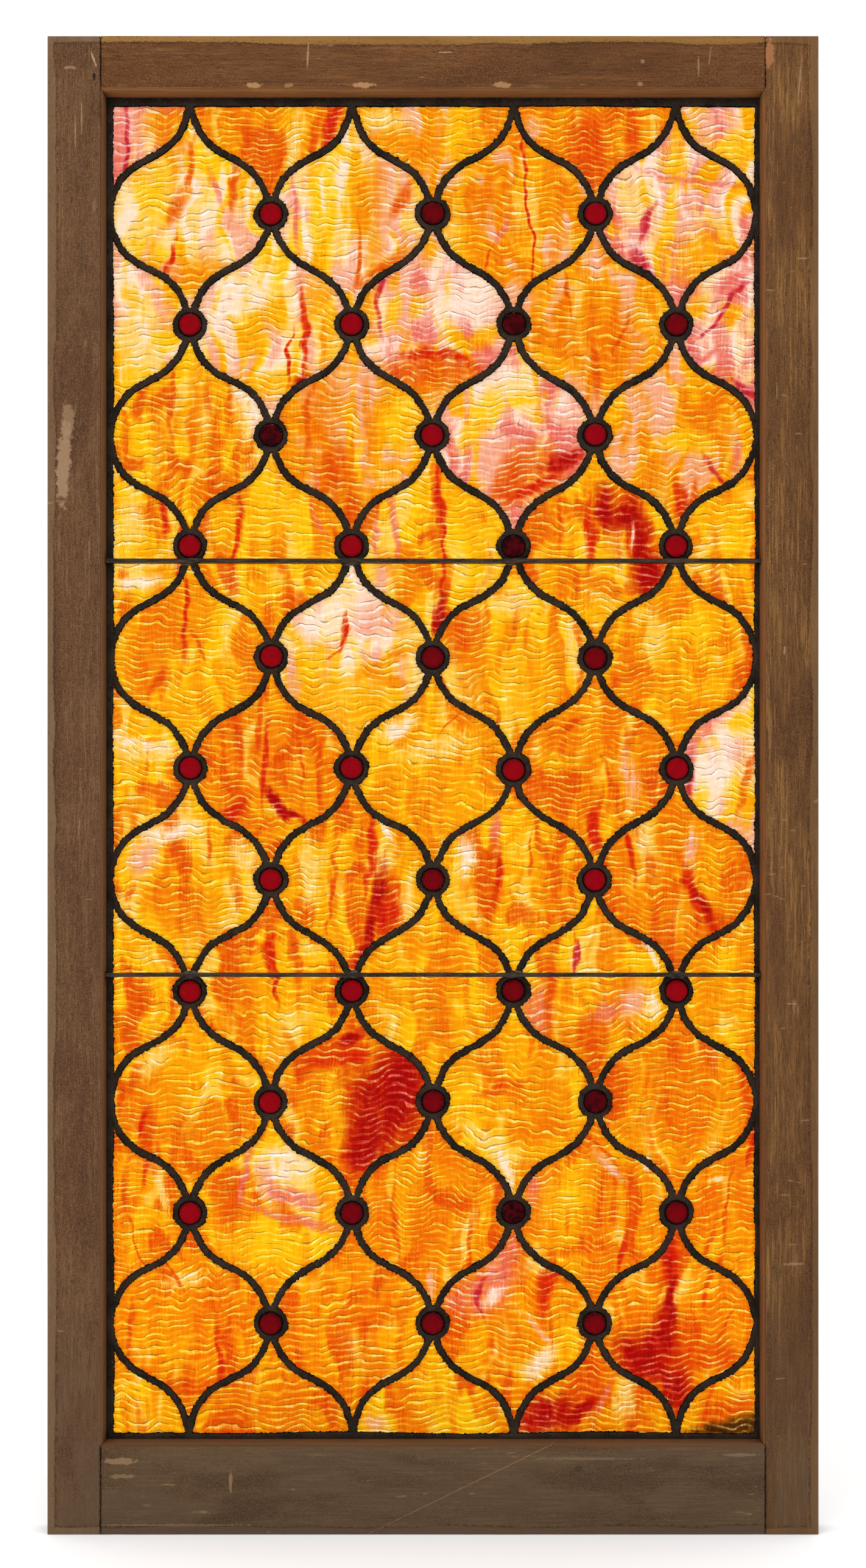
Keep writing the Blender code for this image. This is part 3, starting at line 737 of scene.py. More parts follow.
def sheet_fields(i, j, x, z):
    """How strongly each kind of streak wants to show at points of the tile at (i, j)."""
    seed = 100 * (i + 1) + j
    slow = Waves(seed + 1, 70 * MM, 80 * MM)
    quick = Waves(seed + 2, 24 * MM, 34 * MM)
    pulled_x = x + 4.0 * MM * slow(x, z) + 1.6 * MM * quick(x, z)
    pulled_z = z + 8 * MM * slow(z, x)
    fields = []
    for k, (_, share) in enumerate(SHEETS[sheet_name(i, j)][1]):
        broad = Waves(seed * 7 + 10 * k, 42 * MM, 130 * MM)
        fine = Waves(seed * 7 + 10 * k + 1, 13 * MM, 90 * MM)
        blotch = Waves(seed * 7 + 10 * k + 2, 34 * MM, 38 * MM)
        field = 0.50 * broad(pulled_x, pulled_z) + 0.42 * fine(pulled_x, pulled_z)
        field += 0.42 * blotch(pulled_x, pulled_z)
        fields.append(field + FIELD_SPAN * (share - 0.5))
    return fields


def mark_places(i, j, x, z):
    """Each mark's colour, how far points of the tile lie from its middle (1 is its edge), and its width."""
    centre_x, centre_z = crossing(i, j)
    slow = Waves(31 * i + j, 60 * MM, 60 * MM)
    quick = Waves(37 * i + j + 500, 20 * MM, 20 * MM)
    right = x + 1.5 * MM * slow(x, z) + 0.9 * MM * quick(x, z) - centre_x
    up = z + 2.0 * MM * slow(z, x) + 0.9 * MM * quick(z, x) - centre_z
    places = []
    for name, mark_x, mark_z, half_width, half_length, angle, *bend in MARKS.get((i, j), []):
        sine, cosine = math.sin(math.radians(angle)), math.cos(math.radians(angle))
        from_x, from_z = right / MM - mark_x, up / MM - mark_z
        along = (from_x * sine + from_z * cosine) / (MARK_LONGER * half_length)
        across = from_x * cosine - from_z * sine - sum(bend) * along * along
        width = MARK_WIDER * half_width
        places.append((name, across / width, along, width))
    return places


def ripple_phase(i, j, x, z):
    """How many ripples lie below each point, as an angle. Each tile's ripples have their own lie."""
    rng = np.random.default_rng(tile_seed(5, i, j))
    lean = rng.uniform(-0.09, 0.12)
    length = rng.uniform(4.7, 5.9) * MM
    bend = Waves(tile_seed(6, i, j), 36 * MM, 60 * MM)
    kink = Waves(tile_seed(7, i, j), 15 * MM, 30 * MM)
    jitter = Waves(tile_seed(8, i, j), 7 * MM, 16 * MM)
    wander = 2.0 * MM * bend(x, z) + 0.75 * MM * kink(x, z) + 0.22 * MM * jitter(x, z)
    return 2 * np.pi * (z + lean * x + wander) / length


def distance_to(outline, x, z):
    """How far each point is from an outline."""
    start = outline[None]
    run = (np.roll(outline, -1, axis=0) - outline)[None]
    nearest = np.empty(len(x))
    for first in range(0, len(x), POINTS_AT_ONCE):
        part = slice(first, first + POINTS_AT_ONCE)
        point = np.stack([x[part], z[part]], axis=-1)[:, None]
        share = ((point - start) * run).sum(-1) / np.maximum((run ** 2).sum(-1), 1e-12)
        foot = start + np.clip(share, 0, 1)[..., None] * run
        nearest[part] = np.linalg.norm(point - foot, axis=-1).min(axis=1)
    return nearest


def rows_across(outline, heights):
    """Where an outline's left and right edges lie at each height."""
    following = np.roll(outline, -1, axis=0)
    left, right = [], []
    for height in heights:
        low = np.minimum(outline[:, 1], following[:, 1])
        high = np.maximum(outline[:, 1], following[:, 1])
        crossed = (low <= height) & (high >= height) & (high > low)
        a, b = outline[crossed], following[crossed]
        x = a[:, 0] + (height - a[:, 1]) / (b[:, 1] - a[:, 1]) * (b[:, 0] - a[:, 0])
        left.append(x.min())
        right.append(x.max())
    return np.array(left), np.array(right)


def dye(name):
    """A glass colour as the shader mixes it: its root, so that yellow and red meet in orange."""
    return COLOURS[name] ** DYE_POWER


def store_glass(mesh, i, j, x, z, order):
    """Stores the sheet's streak fields and the tile's own marks on its mesh for the material to read."""
    fields = sheet_fields(i, j, x, z)
    for k, field in enumerate(fields):
        set_values(mesh, f"streak_{k}", field[order])
    marks = mark_places(i, j, x, z)[:MARK_SLOTS]
    far = np.full(len(x), FAR_MARK)
    for k in range(MARK_SLOTS):
        name, across, along, width = marks[k] if k < len(marks) else ("gold", far, far, FAR_MARK_WIDTH)
        attribute = mesh.attributes.new(f"mark_{k}", "FLOAT_VECTOR", "POINT")
        values = np.stack([across, along, np.full(len(x), width)], axis=-1)[order].astype(np.float32)
        attribute.data.foreach_set("vector", values.ravel())
        set_colours(mesh, f"tint_{k}", dye(name), MARK_COVER.get(name, USUAL_MARK_COVER))


def make_tile(i, j, material):
    """One pane: a rippled front and a flat back, its edges tucked into the lead's channels."""
    outline = pane_outline(i, j, TUCKED_UNDER)
    seen = np.stack(hand_shift(*pane_outline(i, j, 0.0).T), axis=-1)
    low, high = outline[:, 1].min() + EDGE_TRIM, outline[:, 1].max() - EDGE_TRIM
    rows = max(4, round((high - low) / ROW_STEP))
    width = outline[:, 0].max() - outline[:, 0].min()
    columns = max(4, round(width / COLUMN_STEP))
    heights = np.linspace(low, high, rows + 1)
    left, right = rows_across(outline, heights)
    share = np.linspace(0, 1, columns + 1)
    x = (left[:, None] + share * (right - left)[:, None]).ravel()
    z = np.repeat(heights, columns + 1)
    x, z = hand_shift(x, z)
    phase = ripple_phase(i, j, x, z)
    from_edge = distance_to(seen, x, z)
    inside = points_inside(seen, x, z)
    rim = np.where(inside, from_edge, -from_edge)
    swell = Waves(tile_seed(9, i, j), 30 * MM, 26 * MM)(x, z)
    calm = smooth(-0.2 * MM, 2.0 * MM, rim)
    y = GLASS_FRONT_Y - calm * (RIPPLE_HEIGHT * (0.5 + 0.5 * np.sin(phase)) * (0.75 + 0.25 * swell))
    front = np.stack([x, y, z], axis=-1)
    back = front.copy()
    back[:, 1] = GLASS_BACK_Y
    index = np.arange((rows + 1) * (columns + 1)).reshape(rows + 1, columns + 1)
    around = np.concatenate([index[0, :-1], index[:-1, -1], index[-1, :0:-1], index[:0:-1, 0]])
    back_of = {k: len(front) + n for n, k in enumerate(around)}
    vertices = np.vstack([front, back[around]])
    corners = [index[:-1, :-1], index[:-1, 1:], index[1:, 1:], index[1:, :-1]]
    faces = list(np.stack(corners, axis=-1).reshape(-1, 4))
    following = np.roll(around, -1)
    faces += [(a, back_of[a], back_of[b], b) for a, b in zip(around, following)]
    faces.append(tuple(back_of[a] for a in around)[::-1])
    name = tile_name(i, j)
    piece = make_piece(name + "_pane", vertices, faces, material)
    order = np.concatenate([np.arange(len(front)), around])
    store_glass(piece.data, i, j, x, z, order)
    set_values(piece.data, "ripple", phase[order])
    set_values(piece.data, "rim", rim[order])
    set_values(piece.data, "front", np.arange(len(vertices)) < len(front))
    piece.data.polygons[len(piece.data.polygons) - 1].use_smooth = False
    if 0 < j < ROWS:
        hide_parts(name)


def points_inside(outline, x, z):
    """Whether each point is inside an outline."""
    following = np.roll(outline, -1, axis=0)
    inside = np.zeros(len(x), bool)
    for (ax, az), (bx, bz) in zip(outline, following):
        if az == bz:
            continue
        crosses = (az > z) != (bz > z)
        inside ^= crosses & (x < ax + (z - az) / (bz - az) * (bx - ax))
    return inside


def tile_name(i, j):
    """A tile's row from the top, and its place in the row from the left."""
    if i in (0, COLUMNS):
        return f"glass_row_{j:02d}_half_{'left' if i == 0 else 'right'}"
    return f"glass_row_{j:02d}_tile_{(i + 1) // 2}"


# Linear colours of the thin painted shade lines, the painted glint, the darkening towards the lead and the
# dirt on the glass
PAINTED_SHADE_TINT = (0.34, 0.14, 0.05)
GLINT = (1.0, 0.96, 0.88)
LEAD_EDGE_TINT = (0.45, 0.22, 0.08)
LEAD_EDGE_WIDTH = 4.0 * MM
DIRT = (0.012, 0.007, 0.004)


def glass_material(sheet):
    """Streaky glass with ripples that have a painted highlight on their lower slopes and a thin painted
    shade line on top.
    """
    s = Shader("glass_" + sheet, {
        "Roughness": 0.12, "Transmission Weight": 1.0, "IOR": 1.45, "Specular IOR Level": 0.12,
    })
    tremble = s.pane_noise(62, 150, 3.0)
    phase = s.plus(s.read("ripple"), s.swing(tremble, 4.2))
    top = s.sine(phase)
    slope = s.sine(s.plus(phase, 1.25))
    place = s.moved(s.times(top, 0.0004), s.times(slope, 0.0005))
    fibre = s.pane_noise(230, 24, 5.0, 0.6, 0.3, source=place)
    hair = s.pane_noise(760, 46, 3.0, 0.6, source=place)
    broken = s.pane_noise(130, 70, 4.0, 0.65, source=place)
    ragged = s.plus(s.minus(fibre, 0.5), s.swing(hair, 0.8))
    colour = glass_marks(s, glass_streaks(s, sheet, ragged), ragged, broken)

    fade = s.pane_noise(34, 150, 3.0)
    mottle = s.pane_noise(60, 250, 4.0, 0.6)
    # Painted highlight: each ripple's lower slope is made paler, with a faint white glint.
    light = s.times(s.step(slope, -0.25, 0.85), s.step(mottle, 0.36, 0.56, 0.15, 1.0))
    light = s.times(light, s.step(fade, 0.36, 0.60, 0.35, 1.0))
    depth = s.minus(1.30, s.times(light, 0.88))
    depth = s.plus(depth, s.swing(hair, 1.5))
    depth = s.plus(depth, s.swing(mottle, -0.9))
    depth = s.larger(depth, 0.26)
    gamma = s.nodes.new("ShaderNodeGamma")
    s.plug(colour, gamma.inputs[0])
    s.plug(s.over(depth, DYE_POWER), gamma.inputs[1])
    # Painted shade: a thin dark line along each ripple's top.
    painted_shade_line = s.times(s.step(top, 0.80, 0.99), s.step(fade, 0.42, 0.54, 0.0, 0.75))
    painted_shade_line = s.times(painted_shade_line, s.step(mottle, 0.36, 0.50))
    tinted = s.mix(painted_shade_line, gamma.outputs[0], PAINTED_SHADE_TINT, "MULTIPLY")
    tinted = s.mix(s.times(light, 0.012), tinted, GLINT)

    rim = s.read("rim")
    crumbs = s.step(s.grit(520.0, 2.0), 0.38, 0.72, -0.0001, 0.0008)
    lumps = s.step(s.grit(170.0, 1.0), 0.42, 0.66, 0.0, 0.0007)
    dirt = s.rest(s.step(s.minus(rim, s.plus(crumbs, lumps)), -0.00005, 0.00020))
    # Darker towards the lead, fading out over its first few millimetres.
    tinted = s.mix(s.step(rim, 0.0, LEAD_EDGE_WIDTH, 0.30, 0.0), tinted, LEAD_EDGE_TINT, "MULTIPLY")
    tinted = s.mix(dirt, tinted, DIRT)
    height = s.plus(s.times(top, 0.6), s.times(mottle, 0.8))
    return s.finish(s.tint_front(tinted), normal=s.bump(height, 0.0002, 0.6))


def glass_streaks(s, sheet, ragged):
    """The sheet's main colour with its streaks laid over it."""
    main, streaks = SHEETS[sheet]
    colour = dye(main)
    for k, (name, _) in enumerate(streaks):
        field = s.plus(s.read(f"streak_{k}"), s.times(ragged, 1.3 if k % 2 else -1.3))
        cover = s.step(field, -0.58, 0.62, 0.0, STREAK_COVER.get(name, USUAL_STREAK_COVER))
        colour = s.mix(cover, colour, dye(name))
    return colour


def glass_marks(s, colour, ragged, broken):
    """The tile's own marks laid over its sheet."""
    for k in range(MARK_SLOTS):
        split = s.nodes.new("ShaderNodeSeparateXYZ")
        s.plug(s.read(f"mark_{k}", "Vector"), split.inputs[0])
        across, along, width = split.outputs
        rough = s.times(ragged, s.over(14.0, s.plus(width, 5.0)))
        cover = s.rest(s.step(s.plus(s.reach(across, along), rough), 0.30, 1.40))
        cover = s.times(cover, s.read(f"tint_{k}", "Alpha"))
        cover = s.times(cover, s.step(broken, 0.30, 0.56, 0.55, 1.0))
        colour = s.mix(cover, colour, s.read(f"tint_{k}", "Color"))
    return colour


# Lead

LEAF_PROFILE = [(0.0, 0.85), (0.35, 0.40), (1.0, 0.10), (1.7, 0.0)]
CHANNEL_FRONT_Y = GLASS_FRONT_Y - 0.10 * MM
CHANNEL_BACK_Y = GLASS_BACK_Y + 0.10 * MM
HEART_REACH = 1.8 * MM
JEWEL_RING_SIDES = 28
LEAD_WELD = 0.01 * MM
SHORTEST_EDGE = 1e-7
TRIANGLE_WELD = 1e-8
CAME_MIDDLE_Y = (CAME_FRONT_Y + CAME_BACK_Y) / 2

# Lumps of solder on the lead, in millimetres from least to most, and how many times their size they spread
SOLDER_SIZE = (4.5, 7.0)
SOLDER_RISE = (0.2, 0.5)
SOLDER_SPREAD = 2.2


def lead_levels():
    """The came's H section as (how far into the lead, depth), from its front crown to its back one."""
    front = [(reach * MM, CAME_FRONT_Y + drop * MM) for reach, drop in reversed(LEAF_PROFILE)]
    back = [(reach * MM, CAME_BACK_Y - drop * MM) for reach, drop in LEAF_PROFILE]
    channel_front = [(0.0, CHANNEL_FRONT_Y), (HEART_REACH, CHANNEL_FRONT_Y)]
    channel_back = [(HEART_REACH, CHANNEL_BACK_Y), (0.0, CHANNEL_BACK_Y)]
    return front + channel_front + channel_back + back


def lead_outlines(into_lead):
    """Every opening in the lead, as outlines that far into it: panes first, then jewels."""
    panes = [pane_outline(i, j, into_lead) for i, j in tile_crossings()]
    jewels = [
        circle(crossing(i, j), JEWEL_RADIUS + into_lead, JEWEL_RING_SIDES) for i, j in jewel_crossings()
    ]
    return panes + jewels


def solder_places():
    """Where the cames were soldered: above and below each jewel's ring and at the border's ends."""
    places = []
    for j in range(ROWS + 1):
        for i in range(COLUMNS + 1):
            if (i + j) % 2 == 0:
                continue
            x, z = crossing(i, j)
            if is_jewel(i, j):
                places += [(x, z + RING_RADIUS), (x, z - RING_RADIUS)]
            else:
                places.append((x, z))
    return places


def lead_relief(points):
    """Wander, hammer marks and solder lumps for the lead's points."""
    x, y, z = points.T
    outward = np.where(y < CAME_MIDDLE_Y, -1.0, 1.0)
    crown = smooth(1.6 * MM, 2.6 * MM, np.abs(y - CAME_MIDDLE_Y))
    lump = 0.09 * MM * Waves(31, 9 * MM, 9 * MM)(x, z) + 0.05 * MM * Waves(32, 4 * MM, 4 * MM)(x, z)
    solder = np.zeros(len(x))
    rng = np.random.default_rng(33)
    for place_x, place_z in solder_places():
        size = rng.uniform(*SOLDER_SIZE) * MM
        rise = rng.uniform(*SOLDER_RISE) * MM
        near = np.hypot(x - place_x, z - place_z) < SOLDER_SPREAD * size
        solder[near] += rise * np.exp(-((x[near] - place_x) ** 2 + (z[near] - place_z) ** 2) / size ** 2)
    moved = points.copy()
    moved[:, 0], moved[:, 2] = hand_shift(x, z)
    moved[:, 1] += outward * crown * (lump + solder)
    return moved, np.clip(solder / (0.4 * MM), 0, 1)


def make_lead(material):
    """The whole soldered lattice as one body with an H section, open at every pane and jewel."""
    bm = bmesh.new()
    levels = lead_levels()
    rings = [
        [[bm.verts.new((x, depth, z)) for x, z in outline] for outline in lead_outlines(reach)]
        for reach, depth in levels
    ]
    for upper, lower in zip(rings, rings[1:]):
        for ring, following in zip(upper, lower):
            count = len(ring)
            for k in range(count):
                after = (k + 1) % count
                bm.faces.new((ring[k], ring[after], following[after], following[k]))
    margin = REBATE_WIDTH - PANEL_CLEARANCE
    edge = dense_rectangle(
        SIGHT_LEFT - margin, SIGHT_RIGHT + margin, SIGHT_LOW - margin, SIGHT_HIGH + margin,
    )
    outer = [[bm.verts.new((x, depth, z)) for x, z in edge] for depth in (levels[0][1], levels[-1][1])]
    for k in range(len(edge)):
        after = (k + 1) % len(edge)
        bm.faces.new((outer[0][k], outer[0][after], outer[1][after], outer[1][k]))
    triangles = crown_triangles([edge] + lead_outlines(levels[0][0]))
    for border, inner in ((outer[0], rings[0]), (outer[1], rings[-1])):
        verts = border + [vert for ring in inner for vert in ring]
        for triangle in triangles:
            bm.faces.new([verts[k] for k in triangle])
    bmesh.ops.remove_doubles(bm, verts=bm.verts, dist=LEAD_WELD)
    mesh = bpy.data.meshes.new("lead_lattice")
    store_faced_out(bm, mesh)
    points = np.empty(len(mesh.vertices) * 3)
    mesh.vertices.foreach_get("co", points)
    moved, solder = lead_relief(points.reshape(-1, 3))
    mesh.vertices.foreach_set("co", moved.ravel())
    mesh.update()
    mesh.shade_smooth()
    piece = add_piece("lead_lattice", mesh, material)
    set_values(mesh, "solder", solder)
    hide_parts("lead_came")


def crown_triangles(loops):
    """Triangles that fill the lead between its outer edge, the first loop, and its openings."""
    points = np.vstack(loops)
    edges = []
    first = 0
    for loop in loops:
        edges += [(first + k, first + (k + 1) % len(loop)) for k in range(len(loop))]
        first += len(loop)
    edges = [(a, b) for a, b in edges if np.abs(points[a] - points[b]).max() > SHORTEST_EDGE]
    corners = [Vector(point) for point in points]
    placed, _, faces, sources, _, _ = delaunay_2d_cdt(corners, edges, [], 1, TRIANGLE_WELD)
    placed = np.array([tuple(point) for point in placed])
    faces = np.array(faces)
    middle = placed[faces].mean(axis=1)
    open_here = np.zeros(len(faces), bool)
    for loop in loops[1:]:
        near = np.flatnonzero(((middle > loop.min(0)) & (middle < loop.max(0))).all(axis=1))
        open_here[near] |= points_inside(loop, middle[near, 0], middle[near, 1])
    return [[sources[k][0] for k in face] for face in faces[~open_here]]


def dense_rectangle(left, right, low, high, step=20 * MM):
    """A rectangle with points along its sides."""
    corners = np.array([(left, low), (right, low), (right, high), (left, high)])
    points = []
    for start, end in zip(corners, np.roll(corners, -1, axis=0)):
        count = max(1, round(float(np.linalg.norm(end - start)) / step))
        points += [start + (end - start) * k / count for k in range(count)]
    return np.array(points)


def lead_material():
    """Old lead: dark brown grey, dull, with greyer solder and cement in its pits."""
    s = Shader("old_lead", {"Specular IOR Level": 0.10})
    broad = s.grit(38.0, 3.0)
    pits = s.grit(620.0, 3.0, 0.65)
    grime = s.grit(160.0, 3.0)
    colour = s.mix(s.step(broad, 0.35, 0.65), linear(32, 24, 18), linear(47, 36, 28))
    colour = s.tinge(colour, pits, 0.52, 0.72, 0.50, (76, 63, 50))
    colour = s.tinge(colour, grime, 0.52, 0.68, 0.6, (27, 19, 14))
    solder = s.times(s.read("solder"), s.step(grime, 0.35, 0.6, 0.05, 0.3))
    colour = s.mix(solder, colour, linear(70, 60, 49))
    height = s.plus(s.times(pits, 0.6), grime)
    return s.finish(colour, s.step(pits, 0.4, 0.7, 0.50, 0.75), s.bump(height, 0.00025, 0.7))


# Jewels

# How bright the darker jewels are, by crossing
DARK_JEWELS = {(4, 1): 0.55, (5, 2): 0.30, (2, 3): 0.30, (5, 4): 0.28, (6, 9): 0.34, (5, 10): 0.16}
DUSKY = 0.62
DUSKY_JEWELS = {(7, 2), (4, 5), (6, 5), (4, 7), (4, 9), (7, 10), (6, 11), (5, 8), (2, 11), (4, 11), (3, 10)}

# The dome's rings from the seat forward, in millimetres: (radius, depth behind the lead's front)
JEWEL_PROFILE = [(10.6, 0.6), (9.4, -0.2), (8.2, -1.5), (6.2, -2.35), (3.6, -2.72)]
JEWEL_SEAT = 10.6 * MM
JEWEL_TIP = 0.06 * MM
JEWEL_SIDES = 16


def make_jewel(i, j, number, material):
    """A pressed round jewel with a low faceted dome in front and a flat back, seated in its ring."""
    x, z = hand_shift(*np.array(crossing(i, j)))
    rng = np.random.default_rng(400 + number)
    turn = rng.uniform(0, 2 * np.pi / JEWEL_SIDES)
    vertices, faces, shade = [], [], []
    base = DARK_JEWELS.get((i, j), DUSKY if (i, j) in DUSKY_JEWELS else 1.0)
    rings = [(JEWEL_SEAT, GLASS_BACK_Y)] + [(r * MM, CAME_FRONT_Y + y * MM) for r, y in JEWEL_PROFILE]
    for level, (radius, depth) in enumerate(rings):
        for k in range(JEWEL_SIDES):
            angle = turn + 2 * np.pi * (k + 0.5 * (level % 2)) / JEWEL_SIDES
            vertices.append((x + radius * math.cos(angle), depth, z + radius * math.sin(angle)))
            # Painted shade: darker towards the rim and on the upper side, a little uneven from point to
            # point, over the jewel's own darkness.
            lit = 1.0 - 0.40 * smooth(5.0, 9.5, radius / MM) - 0.10 * math.sin(angle) * radius / JEWEL_SEAT
            shade.append(base * lit * rng.uniform(0.88, 1.08))
    for level in range(len(rings) - 1):
        for k in range(JEWEL_SIDES):
            a, b = level * JEWEL_SIDES + k, level * JEWEL_SIDES + (k + 1) % JEWEL_SIDES
            c, d = a + JEWEL_SIDES, b + JEWEL_SIDES
            if level % 2 == 0:
                faces += [(a, b, c), (b, d, c)]
            else:
                faces += [(a, b, d), (a, d, c)]
    vertices.append((x, rings[-1][1] - JEWEL_TIP, z))
    shade.append(base)
    top = len(vertices) - 1
    last = (len(rings) - 1) * JEWEL_SIDES
    faces += [(last + k, last + (k + 1) % JEWEL_SIDES, top) for k in range(JEWEL_SIDES)]
    faces.append(tuple(range(JEWEL_SIDES)))
    piece = make_piece(f"ruby_jewel_{number:02d}", vertices, faces, material, flat=True)
    set_values(piece.data, "shade", shade)
    set_values(piece.data, "front", [v[1] < GLASS_BACK_Y - 0.5 * MM for v in vertices])
    set_values(piece.data, "out", [np.hypot(v[0] - x, v[2] - z) / JEWEL_RADIUS for v in vertices])
    face_out(piece)


def jewel_material():
    """Ruby glass, glossy, with painted shade that darkens it towards its rim."""
    s = Shader("ruby_glass", {
        "Roughness": 0.06, "Transmission Weight": 1.0, "IOR": 1.5, "Specular IOR Level": 0.15,
    })
    cloud = s.grit(210.0, 2.0)
    colour = s.mix(s.step(s.read("shade"), 0.15, 1.05), linear(26, 1, 6), linear(150, 1, 15))
    colour = s.tinge(colour, cloud, 0.35, 0.65, 0.35, (120, 2, 12))
    # Painted shade: the rim goes almost black.
    colour = s.mix(s.step(s.read("out"), 0.86, 1.02), colour, linear(20, 4, 5))
    return s.finish(s.tint_front(colour), normal=s.bump(cloud, 0.0002, 0.4))


# Saddle bars

BAR_RADIUS = 0.6 * MM
BAR_STEPS = 120
BAR_CORNER_STEPS = 3

# The lumps of solder on the bars' backs: half length, half depth, and how far they reach past the bar
BLOB_HALF_LENGTH = 7.5 * MM
BLOB_HALF_DEPTH = 1.7 * MM
BLOB_PAST_BAR = 1.3 * MM


def make_bar(node, material, solder_row):
    """A steel bar on edge, slightly uneven, with solder where it crosses the jewels' rings."""
    low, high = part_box(node)
    half_y, half_z = (high.y - low.y) / 2, (high.z - low.z) / 2
    middle_y, middle_z = (high.y + low.y) / 2, (high.z + low.z) / 2
    profile = []
    for sign_y, sign_z, first in ((1, 1, 0), (-1, 1, 90), (-1, -1, 180), (1, -1, 270)):
        for k in range(BAR_CORNER_STEPS + 1):
            angle = math.radians(first + 90 * k / BAR_CORNER_STEPS)
            profile.append((
                sign_y * (half_y - BAR_RADIUS) + BAR_RADIUS * math.cos(angle),
                sign_z * (half_z - BAR_RADIUS) + BAR_RADIUS * math.sin(angle),
            ))
    wave = Waves(51 + solder_row, 60 * MM, 60 * MM)
    fine = Waves(52 + solder_row, 12 * MM, 12 * MM)
    vertices, faces = [], []
    for k in range(BAR_STEPS + 1):
        x = low.x + (high.x - low.x) * k / BAR_STEPS
        thinner = 1 - 0.004 * float(fine(x, 0.0))
        bow = 0.05 * MM * float(wave(x, 0.0))
        for n, (y, z) in enumerate(profile):
            nick = 0.03 * MM * float(fine(x, n * 3 * MM))
            vertices.append((x, middle_y + y * thinner, middle_z + z + nick + bow))
    sides = len(profile)
    for k in range(BAR_STEPS):
        for n in range(sides):
            a, b = k * sides + n, k * sides + (n + 1) % sides
            faces.append((a, b, b + sides, a + sides))
    faces.append(tuple(range(sides)))
    faces.append(tuple(BAR_STEPS * sides + n for n in range(sides)))
    bar = make_piece(node + "_steel", vertices, faces, material)
    face_out(bar)
    bar.data.set_sharp_from_angle(angle=math.radians(50))
    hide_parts(node)
    for i in range(COLUMNS + 1):
        if is_jewel(i, solder_row):
            make_solder_blob(f"{node}_solder_{i}", crossing(i, solder_row)[0], middle_z, high.y, half_z, i)


def make_solder_blob(name, x, z, back_y, half_z, seed):
    """A lump of solder that ties a bar to the ring behind it."""
    bm = bmesh.new()
    bmesh.ops.create_uvsphere(bm, u_segments=20, v_segments=12, radius=1.0)
    lumps = Waves(70 + seed, 1.3, 1.3)
    for vert in bm.verts:
        push = 1 + 0.14 * float(lumps(vert.co.x + vert.co.y, vert.co.z))
        vert.co = Vector((
            x + BLOB_HALF_LENGTH * vert.co.x * push,
            back_y + 0.1 * MM + BLOB_HALF_DEPTH * vert.co.y,
            z + (half_z + BLOB_PAST_BAR) * vert.co.z * push,
        ))
    mesh = bpy.data.meshes.new(name)
    bm.to_mesh(mesh)
    bm.free()
    mesh.shade_smooth()
    add_piece(name, mesh, MATERIALS["solder"])


def steel_material():
    """Dark oxidised steel with paler specks."""
    s = Shader("bar_steel", {"Metallic": 0.25})
    rust = s.noise(s.stretched((60, 400, 400)), detail=4.0, roughness=0.6)
    speck = s.grit(900.0, 2.0)
    colour = s.mix(s.step(rust, 0.38, 0.62), linear(44, 36, 31), linear(72, 57, 46))
    colour = s.tinge(colour, speck, 0.56, 0.70, 0.5, (112, 96, 80))
    return s.finish(colour, s.step(rust, 0.4, 0.7, 0.42, 0.66), s.bump(speck, 0.0001, 0.5))


def solder_material():
    """Dull grey solder with a brown film."""
    s = Shader("dull_solder", {"Metallic": 0.2})
    film = s.grit(240.0, 3.0)
    colour = s.mix(s.step(film, 0.4, 0.62), linear(92, 84, 78), linear(48, 39, 33))
    return s.finish(colour, s.step(film, 0.4, 0.6, 0.40, 0.65), s.bump(film, 0.0002, 0.5))


# Wooden sash

ARRIS = 0.5 * MM
DENT_STEP = 14 * MM

# Where the wood looks different: greyer from one height down to the other, a dark joint line beside the
# sight line at the rails' ends, and a moulding with painted shade in its deeper part. A change runs from
# the first number of a pair to the second.
GREYER_FROM = 260 * MM
GREYEST_AT = 20 * MM
JOINT_OUT = 3.0 * MM
RAIL_HEIGHT = (68 * MM, 72 * MM)
MOULDING_WIDTH = (2.8 * MM, 4.0 * MM)
PAINTED_SHADE_DEPTH = (10.0 * MM, 15.5 * MM)

# Each member's grain direction, seed and colours, how strong its pale streaks are, and its moulding's
# colour with painted light, lighter or darker by which way that moulding faces
MEMBERS = {
    "stile_left": dict(
        along="z", seed=1, dark=(74, 48, 31), mid=(90, 59, 38), light=(104, 74, 50),
        band=(114, 92, 68), streak=(118, 88, 60), streaks=0.60, moulding=(104, 70, 44),
    ),
    "stile_right": dict(
        along="z", seed=2, dark=(74, 46, 24), mid=(92, 58, 31), light=(106, 74, 40),
        band=(108, 80, 50), streak=(138, 98, 52), streaks=0.75, moulding=(118, 74, 43),
    ),
    "rail_top": dict(
        along="x", seed=3, dark=(78, 45, 22), mid=(92, 54, 27), light=(104, 66, 36),
        band=(142, 104, 52), streak=(118, 78, 44), streaks=0.55, moulding=(128, 84, 48),
    ),
    "rail_bottom": dict(
        along="x", seed=4, dark=(58, 40, 27), mid=(80, 57, 37), light=(100, 77, 53),
        band=(84, 68, 54), streak=(118, 94, 66), streaks=0.65, moulding=(98, 64, 38),
    ),
}


